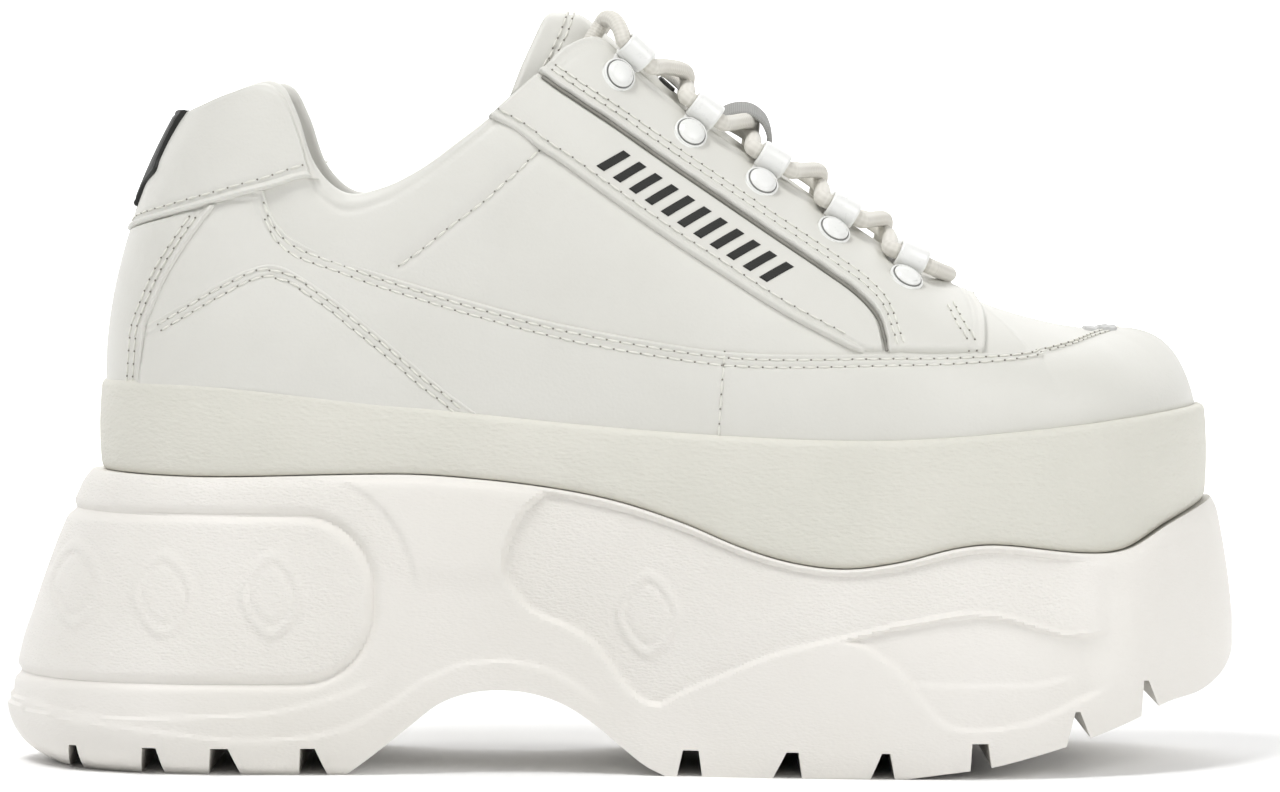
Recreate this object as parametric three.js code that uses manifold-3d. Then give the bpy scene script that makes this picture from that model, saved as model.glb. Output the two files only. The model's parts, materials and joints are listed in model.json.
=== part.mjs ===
// Platform sneaker for the right foot, in millimetres.
// +X points to the toe, +Y to the inner side of the foot and +Z up; the origin is on the
// floor, under the middle of the shoe.

import * as THREE from 'three';
import { mergeVertices } from 'three/addons/utils/BufferGeometryUtils.js';
import Module from 'manifold-3d';

const wasm = await Module();
wasm.setup();

// ---------- driving dimensions ----------

const heelX = -128; // back of the upper where it meets the midsole
const toeX = 142; // tip of the upper where it meets the midsole
const toeTurn = 9; // the toe's tip lies this far inside the heel's axis
const turnStart = -40; // the long axis starts to turn here
const turnLength = 180;
const gap = 0.3; // clearance between neighbouring pieces
const overlayGap = 0.5; // clearance under a raised piece on the curved upper
const outer = -1; // the outer (lateral) side of the shoe
const inner = 1; // the inner (medial) side
const wall = 2.4; // leather and lining of the upper
const collarPadding = 3.6; // added to the wall at the collar
const insoleThick = 4;
const insoleInset = 6.5;
const strapThick = 1.6;
const panelThick = 1.3;
const tongueThick = 4.5;
const laceRadius = 2;
const loopLength = 7.5; // along the lace
const loopRadius = 3.4;
const loopBore = 2.45;
const plateThick = 1.1;
const tubeOut = 4.3; // middle of the tube above the leather
const tubeAcross = 6.8; // and from the rivet towards the throat
const rivetRadius = 3.3;
const keeperThick = 1.2;
const keeperWidth = 9;
const crossRise = 7; // middle of the upper strand of a crossing above the next loop's mouth
const crossDrop = 3.6; // and of the strand under it
const columns = 50; // steps from heel to toe on one side of the upper
const soleColumns = 40;
const insoleColumns = 24;
const pastToe = 9; // cuts under the toe reach this far past it

// half widths of the upper's lower edge, from the long axis; a runs from 0 at the back of the
// heel to 1 at the tip of the toe
const outlineRows = [
  { a: 0.0, outer: 0.0, inner: 0.0 },
  { a: 0.1, outer: 19.0, inner: 19.0 },
  { a: 0.2, outer: 29.5, inner: 29.3 },
  { a: 0.3, outer: 33.5, inner: 31.5 },
  { a: 0.4, outer: 36.0, inner: 30.0 },
  { a: 0.5, outer: 42.0, inner: 31.0 },
  { a: 0.6, outer: 49.5, inner: 36.4 },
  { a: 0.7, outer: 52.0, inner: 39.1 },
  { a: 0.8, outer: 43.2, inner: 34.4 },
  { a: 0.9, outer: 23.5, inner: 21.0 },
  { a: 1.0, outer: 0.0, inner: 0.0 },
];

// heights along the shoe: the midsole's lip, and the seam between midsole and outsole
const lipRows = [
  { x: -131, z: 95.8 },
  { x: -104, z: 95.6 },
  { x: -79, z: 93.3 },
  { x: -30, z: 87.6 },
  { x: 18, z: 83.5 },
  { x: 62, z: 82.0 },
  { x: 101, z: 84.5 },
  { x: 146, z: 89.4 },
];
const seamRows = [
  { x: -134, z: 73.2 },
  { x: -104, z: 72.3 },
  { x: -55, z: 73.2 },
  { x: -35, z: 72.0 },
  { x: -16, z: 69.7 },
  { x: -1, z: 66.6 },
  { x: 14, z: 61.7 },
  { x: 28, z: 55.9 },
  { x: 40, z: 52.3 },
  { x: 53, z: 50.7 },
  { x: 66, z: 52.2 },
  { x: 81, z: 55.8 },
  { x: 91, z: 56.5 },
  { x: 113, z: 54.1 },
  { x: 123, z: 54.9 },
  { x: 134, z: 60.5 },
  { x: 149, z: 66.6 },
];

// how far the outsole's wall stands out from the upper's lower edge, at five places round it
const stationRows = [
  { name: 'back', a: 0.0 },
  { name: 'heel', a: 0.25 },
  { name: 'waist', a: 0.45 },
  { name: 'ball', a: 0.66 },
  { name: 'toe', a: 1.0 },
];
const wallRows = [
  { z: 0, back: 13.0, heel: 5.5, waist: 2.0, ball: 5.6, toe: 8.0 },
  { z: 2.5, back: 18.0, heel: 8.3, waist: 2.2, ball: 7.2, toe: 9.6 },
  { z: 6, back: 22.0, heel: 10.0, waist: 2.5, ball: 8.2, toe: 10.4 },
  { z: 12, back: 24.8, heel: 11.2, waist: 2.8, ball: 8.8, toe: 10.8 },
  { z: 19, back: 25.0, heel: 11.4, waist: 3.2, ball: 9.0, toe: 10.8 },
  { z: 30, back: 22.8, heel: 10.6, waist: 3.8, ball: 8.6, toe: 10.8 },
  { z: 37, back: 20.5, heel: 9.8, waist: 4.2, ball: 7.8, toe: 10.7 },
  { z: 46, back: 17.5, heel: 8.6, waist: 4.7, ball: 6.4, toe: 9.8 },
  { z: 56, back: 13.8, heel: 7.2, waist: 5.0, ball: 5.2, toe: 8.2 },
  { z: 64, back: 10.3, heel: 6.0, waist: 4.8, ball: 5.0, toe: 6.6 },
  { z: 70, back: 7.6, heel: 4.9, waist: 4.4, ball: 4.8, toe: 5.4 },
  { z: 76, back: 4.8, heel: 3.8, waist: 3.8, ball: 4.6, toe: 4.6 },
];
const bandRow = { back: 3.0, heel: 2.6, waist: 2.6, ball: 3.3, toe: 3.9 };

// the underside: the arch between heel and forefoot, and the toe spring
const archRows = [
  { x: -68, z: 0.0 },
  { x: -60, z: 6.0 },
  { x: -52, z: 12.4 },
  { x: -45, z: 17.6 },
  { x: -37.5, z: 20.2 },
  { x: -30, z: 20.8 },
  { x: -23, z: 20.1 },
  { x: -15.5, z: 17.7 },
  { x: -8.5, z: 13.4 },
  { x: -1, z: 7.3 },
  { x: 5, z: 2.5 },
  { x: 10, z: 0.0 },
];
const springRows = [
  { x: 68, z: 0.0 },
  { x: 77, z: 1.3 },
  { x: 88.5, z: 2.9 },
  { x: 98, z: 5.2 },
  { x: 108, z: 8.0 },
  { x: 116, z: 10.6 },
  { x: 126, z: 14.3 },
  { x: 133, z: 17.4 },
  { x: 142, z: 19.3 },
  { x: 148.5, z: 23.0 },
  { x: 152, z: 27.5 },
  { x: 154, z: 32.0 },
];

// grooves across the tread: mouth from `back` to `front`, roof from `roofBack` to `roofFront`
const grooveRows = [
  { back: -137.4, front: -133.3, roofBack: -136.6, roofFront: -134.6, roof: 6.5 },
  { back: -118.5, front: -112.2, roofBack: -117.8, roofFront: -114.4, roof: 6.7 },
  { back: -101.7, front: -93.2, roofBack: -101.0, roofFront: -96.6, roof: 6.7 },
  { back: -79.6, front: -72.1, roofBack: -79.1, roofFront: -75.5, roof: 6.7 },
  { back: 12.5, front: 19.0, roofBack: 14.2, roofFront: 18.0, roof: 6.5 },
  { back: 35.5, front: 43.2, roofBack: 39.3, roofFront: 42.2, roof: 6.5 },
  { back: 59.2, front: 65.7, roofBack: 62.3, roofFront: 64.3, roof: 6.5 },
  { back: 83.5, front: 89.5, roofBack: 84.1, roofFront: 88.0, roof: 8.9 },
  { back: 105.0, front: 117.5, roofBack: 109.4, roofFront: 110.6, roof: 16.2 },
  { back: 125.0, front: 138.0, roofBack: 126.8, roofFront: 128.0, roof: 23.0 },
];

// the upper's wall from its lower edge to its top line: x and z of the top line, its half
// width from the long axis, and how the wall leaves the sole (rise, bulge) and arrives at the
// top (reach, lean from the horizontal in degrees)
const wallLineRows = [
  { a: 0.0, x: -108.8, half: 0.0, z: 162.0, rise: 20, bulge: 0.2, reach: 26, lean: 60 },
  { a: 0.05, x: -107.2, half: 9.0, z: 162.7, rise: 20, bulge: 0.5, reach: 25, lean: 61 },
  { a: 0.1, x: -102.8, half: 16.8, z: 164.8, rise: 21, bulge: 1.0, reach: 24, lean: 64 },
  { a: 0.15, x: -96.0, half: 22.2, z: 168.0, rise: 25, bulge: 1.8, reach: 24, lean: 68 },
  { a: 0.2, x: -88.0, half: 25.8, z: 170.2, rise: 26, bulge: 2.4, reach: 25, lean: 73 },
  { a: 0.225, x: -83.4, half: 27.4, z: 168.0, rise: 24, bulge: 2.5, reach: 23, lean: 77 },
  { a: 0.25, x: -79.6, half: 28.8, z: 160.5, rise: 22, bulge: 2.5, reach: 19, lean: 80 },
  { a: 0.275, x: -75.6, half: 30.4, z: 148.8, rise: 19, bulge: 2.5, reach: 16, lean: 83 },
  { a: 0.3, x: -68.5, half: 31.6, z: 142.4, rise: 17, bulge: 2.5, reach: 15, lean: 84 },
  { a: 0.325, x: -59.5, half: 32.3, z: 143.6, rise: 17, bulge: 2.5, reach: 16, lean: 84 },
  { a: 0.35, x: -50.0, half: 32.3, z: 148.3, rise: 19, bulge: 2.6, reach: 18, lean: 82 },
  { a: 0.375, x: -41.0, half: 31.6, z: 154.8, rise: 22, bulge: 2.8, reach: 20, lean: 79 },
  { a: 0.4, x: -33.0, half: 30.2, z: 160.9, rise: 24, bulge: 3.0, reach: 22, lean: 75 },
  { a: 0.42, x: -26.6, half: 27.8, z: 167.0, rise: 26, bulge: 3.2, reach: 24, lean: 68 },
  { a: 0.44, x: -20.4, half: 24.0, z: 172.6, rise: 29, bulge: 3.4, reach: 26, lean: 60 },
  { a: 0.46, x: -14.6, half: 19.4, z: 178.4, rise: 31, bulge: 3.5, reach: 27, lean: 53 },
  { a: 0.48, x: -6.8, half: 15.0, z: 180.7, rise: 32, bulge: 3.5, reach: 28, lean: 47 },
  { a: 0.5, x: 0.5, half: 13.4, z: 174.4, rise: 32, bulge: 3.4, reach: 28, lean: 44 },
  { a: 0.56, x: 18.4, half: 13.0, z: 159.3, rise: 30, bulge: 3.0, reach: 26, lean: 38 },
  { a: 0.61, x: 36.0, half: 12.8, z: 147.0, rise: 27, bulge: 2.4, reach: 24, lean: 33 },
  { a: 0.66, x: 53.6, half: 12.6, z: 134.9, rise: 23, bulge: 2.0, reach: 22, lean: 28 },
  { a: 0.71, x: 71.0, half: 12.0, z: 123.2, rise: 19, bulge: 1.4, reach: 21, lean: 20 },
  { a: 0.74, x: 78.6, half: 8.6, z: 119.2, rise: 17, bulge: 1.0, reach: 23, lean: 11 },
  { a: 0.76, x: 81.2, half: 0.0, z: 117.9, rise: 16, bulge: 0.6, reach: 27, lean: 4 },
  { a: 0.8, x: 93.0, half: 0.0, z: 113.0, rise: 14.5, bulge: 0.2, reach: 25, lean: 0 },
  { a: 0.85, x: 105.0, half: 0.0, z: 109.6, rise: 12.5, bulge: -0.4, reach: 20, lean: 0 },
  { a: 0.9, x: 114.0, half: 0.0, z: 108.0, rise: 11, bulge: -1.2, reach: 16, lean: 0 },
  { a: 0.95, x: 120.5, half: 0.0, z: 107.4, rise: 10.5, bulge: -2.0, reach: 13, lean: 0 },
  { a: 1.0, x: 124.0, half: 0.0, z: 107.2, rise: 10, bulge: -2.4, reach: 12, lean: 0 },
];
const throatFront = 0.76; // a, where the throat closes and the two sides meet on the ridge

// rivets of the lace loops on the eyestay, from the top one to the front one
const loopRows = [
  { x: -2.2, z: 170.6 },
  { x: 15.6, z: 156.0 },
  { x: 33.1, z: 143.7 },
  { x: 50.8, z: 131.6 },
  { x: 68.6, z: 119.8 },
];

// edges of the side strap, from its top end at the collar to its front end
const strapRows = [
  { lowX: -32.5, lowZ: 159.6, highX: -21.0, highZ: 170.6 },
  { lowX: -21.5, lowZ: 153.3, highX: -8.5, highZ: 163.0 },
  { lowX: -2.6, lowZ: 139.7, highX: 10.4, highZ: 149.6 },
  { lowX: 17.0, lowZ: 126.3, highX: 30.0, highZ: 136.0 },
  { lowX: 36.5, lowZ: 113.7, highX: 49.6, highZ: 123.0 },
  { lowX: 47.0, lowZ: 107.8, highX: 59.5, highZ: 115.3 },
  { lowX: 54.7, lowZ: 104.2, highX: 64.2, highZ: 105.6 },
];

// height of the raised heel panel's lower edge, from the back to its end at the collar
const heelPanelRows = [
  { a: 0.0, z: 131.7 },
  { a: 0.1, z: 135.2 },
  { a: 0.17, z: 139.0 },
  { a: 0.23, z: 143.2 },
  { a: 0.265, z: 145.6 },
];

// sections of the tongue: the wall line it follows, how far it reaches under the eyestay
// (low), how far it slides up along the instep (lift), its clearance under the eyestay
// (sink) and how far its middle rises above the throat's edges (crown)
const tongueRows = [
  { a: 0.78, low: 0.82, lift: 0, sink: 0.8, crown: 0 },
  { a: 0.75, low: 0.8, lift: 0, sink: 0.8, crown: 0.2 },
  { a: 0.71, low: 0.8, lift: 0, sink: 0.8, crown: 1.6 },
  { a: 0.66, low: 0.78, lift: 0, sink: 0.8, crown: 3.4 },
  { a: 0.61, low: 0.76, lift: 0, sink: 0.8, crown: 4.0 },
  { a: 0.56, low: 0.76, lift: 0, sink: 0.9, crown: 4.6 },
  { a: 0.52, low: 0.78, lift: 0, sink: 1.6, crown: 5.6 },
  { a: 0.49, low: 0.8, lift: 0, sink: 5.5, crown: 8.6 },
  { a: 0.476, low: 0.8, lift: 3, sink: 5.5, crown: 7.8 },
  { a: 0.468, low: 0.8, lift: 8, sink: 5.5, crown: 6.0 },
];

// arch of a lace end from the top loop's mouth, and the places behind the eyestay's top edge
// where it is tucked in
const laceEndRows = [
  { back: 0.8, in: 0.7, up: 2.8 },
  { back: 2.3, in: 3.1, up: 5.2 },
  { back: 4.3, in: 5.6, up: 5.8 },
  { back: 5.8, in: 7.1, up: 4.0 },
];
const laceTuck = { a: 0.478, depth: 5.3, reach: [0.98, 0.9, 0.82] };

// side view of the lace keeper, along the tongue and away from it, round a lace crossing
const keeperRows = [
  { run: -7.5, lift: -5.0 },
  { run: -5.5, lift: -0.2 },
  { run: -2.0, lift: 2.4 },
  { run: 2.0, lift: 2.4 },
  { run: 5.5, lift: 0.0 },
  { run: 8.0, lift: -5.5 },
];
const keeperSpread = 1.12; // its outer face is this much longer than its inner face

// ---------- helpers ----------

// smooth curve through the rows of a table
function along(rows, key, column, at) {
  const last = rows.length - 1;
  if (at <= rows[0][key]) return rows[0][column];
  if (at >= rows[last][key]) return rows[last][column];
  let i = 0;
  while (at > rows[i + 1][key]) i += 1;
  const slope = (j) => {
    const before = rows[Math.max(j - 1, 0)];
    const after = rows[Math.min(j + 1, last)];
    return (after[column] - before[column]) / (after[key] - before[key]);
  };
  const span = rows[i + 1][key] - rows[i][key];
  const u = (at - rows[i][key]) / span;
  const rest = 1 - u;
  const ends = rest * rest * (1 + 2 * u) * rows[i][column] + u * u * (3 - 2 * u) * rows[i + 1][column];
  const tangents = u * rest * rest * slope(i) - u * u * rest * slope(i + 1);
  return ends + tangents * span;
}

function smoothStep(u) {
  const t = Math.min(Math.max(u, 0), 1);
  return t * t * (3 - 2 * t);
}

function steps(count) {
  return Array.from({ length: count + 1 }, (_, i) => i / count);
}

function meshGeometry(points, triangles) {
  const geometry = new THREE.BufferGeometry();
  const position = new Float32Array(points.flatMap((p) => [p.x, p.y, p.z]));
  geometry.setAttribute('position', new THREE.BufferAttribute(position, 3));
  geometry.setIndex(triangles.flat());
  return geometry;
}

function welded(geometry) {
  const bare = geometry.clone();
  bare.deleteAttribute('normal');
  bare.deleteAttribute('uv');
  return mergeVertices(bare, 1e-4);
}

function toSolid(geometry) {
  const bare = welded(geometry);
  const vertProperties = new Float32Array(bare.attributes.position.array);
  const triVerts = new Uint32Array(bare.index.array);
  return new wasm.Manifold(new wasm.Mesh({ numProp: 3, vertProperties, triVerts }));
}

function fromSolid(solid) {
  const mesh = solid.getMesh();
  const geometry = new THREE.BufferGeometry();
  geometry.setAttribute('position', new THREE.BufferAttribute(new Float32Array(mesh.vertProperties), 3));
  geometry.setIndex([...mesh.triVerts]);
  return geometry;
}

// closed body from rings of points that run round it, each ring ordered outer side from heel
// to toe and then the inner side back; the first and last rings are closed across the body
function ringBody(rings) {
  const count = rings[0].length;
  const half = count / 2;
  const triangles = [];
  for (let r = 0; r < rings.length - 1; r += 1) {
    for (let c = 0; c < count; c += 1) {
      const here = r * count + c;
      const next = r * count + ((c + 1) % count);
      triangles.push([here, next, next + count], [here, next + count, here + count]);
    }
  }
  const cap = (start, flip) => {
    for (let c = 0; c < half; c += 1) {
      const lower = [start + c, start + c + 1];
      const upper = [start + ((count - c) % count), start + count - c - 1];
      const quad = [
        [lower[0], upper[1], lower[1]],
        [lower[0], upper[0], upper[1]],
      ];
      for (const triangle of quad) {
        if (new Set(triangle).size < 3) continue;
        triangles.push(flip ? triangle.slice().reverse() : triangle);
      }
    }
  };
  cap(0, false);
  cap((rings.length - 1) * count, true);
  return meshGeometry(rings.flat(), triangles);
}

// closed shell between two grids of points, each with the same rows and columns
function sheetBody(top, bottom) {
  const rows = top.length;
  const count = top[0].length;
  const offset = rows * count;
  const triangles = [];
  const quad = (a, b, c, d) => triangles.push([a, b, c], [a, c, d]);
  for (let r = 0; r < rows - 1; r += 1) {
    for (let c = 0; c < count - 1; c += 1) {
      const here = r * count + c;
      quad(here, here + 1, here + count + 1, here + count);
      const under = here + offset;
      quad(under, under + count, under + count + 1, under + 1);
    }
  }
  for (let c = 0; c < count - 1; c += 1) {
    const end = (rows - 1) * count + c;
    quad(c, c + offset, c + offset + 1, c + 1);
    quad(end, end + 1, end + 1 + offset, end + offset);
  }
  for (let r = 0; r < rows - 1; r += 1) {
    const start = r * count;
    const end = start + count - 1;
    quad(start, start + count, start + count + offset, start + offset);
    quad(end, end + offset, end + count + offset, end + count);
  }
  return meshGeometry([...top.flat(), ...bottom.flat()], triangles);
}

// turns a closed geometry the right way out
function outwards(geometry) {
  const p = geometry.attributes.position;
  const index = geometry.index.array;
  const [a, b, c] = [new THREE.Vector3(), new THREE.Vector3(), new THREE.Vector3()];
  let volume = 0;
  for (let i = 0; i < index.length; i += 3) {
    a.fromBufferAttribute(p, index[i]);
    b.fromBufferAttribute(p, index[i + 1]);
    c.fromBufferAttribute(p, index[i + 2]);
    volume += a.dot(b.cross(c)) / 6;
  }
  if (volume > 0) return geometry;
  const flipped = [];
  for (let i = 0; i < index.length; i += 3) flipped.push(index[i], index[i + 2], index[i + 1]);
  geometry.setIndex(flipped);
  return geometry;
}

// prism across the shoe and past its sides, from an outline in the side view
function prism(outline) {
  const width = 160;
  const shape = new THREE.Shape(outline.map(([x, z]) => new THREE.Vector2(x, z)));
  const geometry = new THREE.ExtrudeGeometry(shape, { depth: width, bevelEnabled: false });
  geometry.rotateX(Math.PI / 2);
  geometry.translate(0, width / 2, 0);
  return geometry;
}

// round cord along points, closed at both ends
function cord(points, radius, count, sides = 8) {
  const turn = (2 * Math.PI) / sides;
  const ring = steps(sides - 1).map((_, i) => new THREE.Vector2(
    radius * Math.cos(turn * i),
    radius * Math.sin(turn * i),
  ));
  const path = new THREE.CatmullRomCurve3(points, false, 'centripetal');
  return new THREE.ExtrudeGeometry(new THREE.Shape(ring), { steps: count, extrudePath: path });
}

// ---------- plan of the shoe ----------

function axisY(x) {
  return toeTurn * smoothStep((x - turnStart) / turnLength);
}

function lowerEdge(a, side) {
  const x = heelX + ((toeX - heelX) * (1 - Math.cos(Math.PI * a))) / 2;
  const half = along(outlineRows, 'a', side === outer ? 'outer' : 'inner', a);
  return new THREE.Vector2(x, axisY(x) + side * half);
}

function outward(a, side) {
  const step = 0.002;
  const before = lowerEdge(Math.max(a - step, 0), side);
  const after = lowerEdge(Math.min(a + step, 1), side);
  const run = after.sub(before).normalize();
  return new THREE.Vector2(-side * run.y, side * run.x);
}

// ring of places round the sole: outer side from heel to toe, then the inner side back
function soleRing(count, place) {
  const ring = [];
  for (let i = 0; i <= count; i += 1) ring.push(place(i / count, outer));
  for (let i = count - 1; i > 0; i -= 1) ring.push(place(i / count, inner));
  return ring;
}

function atStation(row, a) {
  const rows = stationRows.map((station) => ({ a: station.a, out: row[station.name] }));
  return along(rows, 'a', 'out', a);
}

function outsoleStandOut(a, z) {
  const row = {};
  for (const station of stationRows) row[station.name] = along(wallRows, 'z', station.name, z);
  return atStation(row, a);
}

function soleHeight(rows, x) {
  return along(rows, 'x', 'z', x);
}

function offsetPoint(a, side, out) {
  const p = lowerEdge(a, side);
  return p.addScaledVector(outward(a, side), out);
}

// ---------- sole ----------

function outsoleBody() {
  const depths = [0, 0.02, 0.06, 0.13, 0.23, 0.35, 0.48, 0.6, 0.72, 0.82, 0.9, 0.96, 1];
  const shoulder = 1.1; // the top edge is rounded off by this much
  const shoulderDepth = 4;
  const seamOut = 5; // the wall's mean stand out
  const rings = depths.map((depth) => soleRing(soleColumns, (a, side) => {
    const seam = soleHeight(seamRows, offsetPoint(a, side, seamOut).x);
    const z = seam * (1 - depth);
    const rounding = shoulder * Math.max(0, 1 - (seam - z) / shoulderDepth) ** 2;
    const p = offsetPoint(a, side, outsoleStandOut(a, z) - rounding);
    return new THREE.Vector3(p.x, p.y, z);
  }));
  return outwards(ringBody(rings));
}

// outline of what is cut away under a curve of the underside
function curveOutline(rows, count, tail) {
  const below = -5;
  const [from, to] = [rows[0].x, rows[rows.length - 1].x];
  const points = steps(count).map((u) => {
    const x = from + (to - from) * u;
    return [x, soleHeight(rows, x)];
  });
  return [[from, below], ...points, ...tail, [to + (tail.length ? pastToe : 0), below]];
}

function springOutline() {
  const last = springRows[springRows.length - 1];
  return curveOutline(springRows, 24, [[last.x + pastToe, last.z + pastToe]]);
}

function grooveOutline(groove) {
  const below = -1;
  return [
    [groove.back, below],
    [groove.roofBack, groove.roof],
    [groove.roofFront, groove.roof],
    [groove.front, below],
  ];
}

function outsoleGeometry() {
  let solid = toSolid(outsoleBody());
  const cuts = [curveOutline(archRows, 22, []), springOutline(), ...grooveRows.map(grooveOutline)];
  for (const cut of cuts) solid = solid.subtract(toSolid(outwards(welded(prism(cut)))));
  return fromSolid(solid);
}

function midsoleGeometry() {
  const lipRound = [
    { down: 2.4, in: 0 },
    { down: 0.8, in: 0.5 },
    { down: 0, in: 1.7 },
  ];
  const ring = (height, inset) => soleRing(soleColumns, (a, side) => {
    const p = offsetPoint(a, side, atStation(bandRow, a) - inset);
    return new THREE.Vector3(p.x, p.y, height(p.x));
  });
  const rings = [
    ring((x) => soleHeight(seamRows, x) + gap, 0),
    ...lipRound.map((step) => ring((x) => soleHeight(lipRows, x) - step.down, step.in)),
  ];
  return outwards(ringBody(rings));
}

function insoleGeometry() {
  const ring = (lift) => soleRing(insoleColumns, (a, side) => {
    const p = offsetPoint(a, side, -insoleInset);
    return new THREE.Vector3(p.x, p.y, soleHeight(lipRows, p.x) + gap + lift);
  });
  return outwards(ringBody([ring(0), ring(insoleThick)]));
}

// ---------- upper ----------

// point of the upper's outer surface; t runs from 0 at the sole to 1 at the top line
function upperPoint(a, t, side) {
  const line = (column) => along(wallLineRows, 'a', column, a);
  const foot = lowerEdge(a, side);
  const out = outward(a, side);
  const start = new THREE.Vector3(foot.x, foot.y, soleHeight(lipRows, foot.x) + gap);
  const topX = line('x');
  const half = a < throatFront - 1e-6 ? Math.max(line('half'), 0) : 0;
  const end = new THREE.Vector3(topX, axisY(topX) + side * half, line('z'));
  const bulge = line('bulge');
  const rise = new THREE.Vector3(out.x * bulge, out.y * bulge, line('rise'));
  const lean = THREE.MathUtils.degToRad(line('lean'));
  const ridgeSlope = a > throatFront ? ridgeFall(topX) : 0;
  const arrive = new THREE.Vector3(
    -out.x * Math.cos(lean),
    -out.y * Math.cos(lean),
    Math.sin(lean) - out.x * ridgeSlope,
  );
  const reach = line('reach');
  const curve = new THREE.CubicBezierCurve3(
    start,
    start.clone().add(rise),
    end.clone().addScaledVector(arrive, -reach),
    end,
  );
  return curve.getPoint(t);
}

// slope of the vamp's ridge between the throat and the toe
function ridgeFall(x) {
  const step = 1;
  const ridge = wallLineRows.filter((row) => row.a >= throatFront);
  return (along(ridge, 'x', 'z', x + step) - along(ridge, 'x', 'z', x - step)) / (2 * step);
}

function upperNormal(a, t, side) {
  const step = 0.004;
  const [a0, a1] = [Math.max(a - step, 0), Math.min(a + step, 1)];
  const [t0, t1] = [Math.max(t - step, 0), Math.min(t + step, 1)];
  const alongA = upperPoint(a1, t, side).sub(upperPoint(a0, t, side));
  const alongT = upperPoint(a, t1, side).sub(upperPoint(a, t0, side));
  const normal = side === outer ? alongA.cross(alongT) : alongT.cross(alongA);
  return normal.normalize();
}

// point at a distance outside the upper's outer surface
function overUpper(a, t, side, distance) {
  return upperPoint(a, t, side).addScaledVector(upperNormal(a, t, side), distance);
}

// a and t of the place that has this x and z on one side of the upper
function findOnUpper(x, z, side) {
  let best = { a: 0.5, t: 0.5, miss: Infinity };
  const miss = (a, t) => {
    const p = upperPoint(a, t, side);
    return Math.hypot(p.x - x, p.z - z);
  };
  for (const a of steps(50)) {
    for (const t of steps(20)) {
      const found = miss(a, t);
      if (found < best.miss) best = { a, t, miss: found };
    }
  }
  for (let reach = 0.02; reach > 1e-5; reach /= 1.6) {
    for (const da of [-reach, 0, reach]) {
      for (const dt of [-2 * reach, 0, 2 * reach]) {
        const a = Math.min(Math.max(best.a + da, 0), 1);
        const t = Math.min(Math.max(best.t + dt, 0), 1);
        const found = miss(a, t);
        if (found < best.miss) best = { a, t, miss: found };
      }
    }
  }
  return best;
}

// t at which the wall passes a height
function wallAtHeight(a, z, side) {
  let [low, high] = [0, 1];
  for (let i = 0; i < 24; i += 1) {
    const middle = (low + high) / 2;
    if (upperPoint(a, middle, side).z < z) low = middle;
    else high = middle;
  }
  return low;
}

// the padding fades out towards the throat and down the wall
function wallThick(a, t) {
  const atCollar = 1 - smoothStep((a - 0.34) / 0.1);
  const upTheWall = smoothStep((t - 0.35) / 0.4);
  return wall + collarPadding * atCollar * upTheWall;
}

// one shell: outer face, inner face, rim round collar and throat, and the edge underneath
function upperGeometry() {
  const rows = 8;
  const places = soleRing(columns, (a, side) => ({ a, side }));
  const count = places.length;
  const id = (c, r) => {
    const place = places[c % count];
    const onRidge = r === rows && place.a >= throatFront - 1e-6;
    const column = onRidge && place.side === inner ? count - (c % count) : c % count;
    return column * (rows + 1) + r;
  };
  const points = places.flatMap(({ a, side }) => steps(rows).map((t) => upperPoint(a, t, side)));
  const outside = [];
  for (let c = 0; c < count; c += 1) {
    for (let r = 0; r < rows; r += 1) {
      const quad = [id(c, r), id(c + 1, r), id(c + 1, r + 1), id(c, r + 1)];
      outside.push([quad[0], quad[1], quad[2]], [quad[0], quad[2], quad[3]]);
    }
  }
  const face = meshGeometry(points, outside);
  face.computeVertexNormals();
  const normals = face.attributes.normal;
  const size = points.length;
  const insidePoints = places.flatMap(({ a }, c) => steps(rows).map((t, r) => {
    const normal = new THREE.Vector3().fromBufferAttribute(normals, id(c, r));
    if (r === 0) normal.setZ(0).normalize(); // the wall stands level on the midsole
    return points[id(c, r)].clone().addScaledVector(normal, -wallThick(a, t));
  }));
  const inside = outside.map(([p, q, r]) => [p + size, r + size, q + size]);
  const edges = [];
  const strip = (p, q) => edges.push([p, p + size, q + size], [p, q + size, q]);
  for (let c = 0; c < count; c += 1) {
    const open = Math.min(places[c].a, places[(c + 1) % count].a) < throatFront - 1e-6;
    strip(id(c, 0), id(c + 1, 0));
    if (open) strip(id(c + 1, rows), id(c, rows));
  }
  return welded(outwards(meshGeometry([...points, ...insidePoints], [...outside, ...inside, ...edges])));
}

// a raised piece on one side of the upper, from rows of places { a, t }
function overlayGeometry(grid, side, thick) {
  const layer = (distance) => grid.map((row) => row.map(({ a, t }) => overUpper(a, t, side, distance)));
  return outwards(sheetBody(layer(overlayGap + thick), layer(overlayGap)));
}

function strapGeometry(side) {
  const across = 3;
  const lengthwise = 14;
  const rows = strapRows.map((row, i) => ({ ...row, u: i / (strapRows.length - 1) }));
  const grid = steps(lengthwise).map((u) => steps(across).map((v) => {
    const mix = (low, high) => along(rows, 'u', low, u) * (1 - v) + along(rows, 'u', high, u) * v;
    return findOnUpper(mix('lowX', 'highX'), mix('lowZ', 'highZ'), outer);
  }));
  return overlayGeometry(grid, side, strapThick);
}

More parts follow.
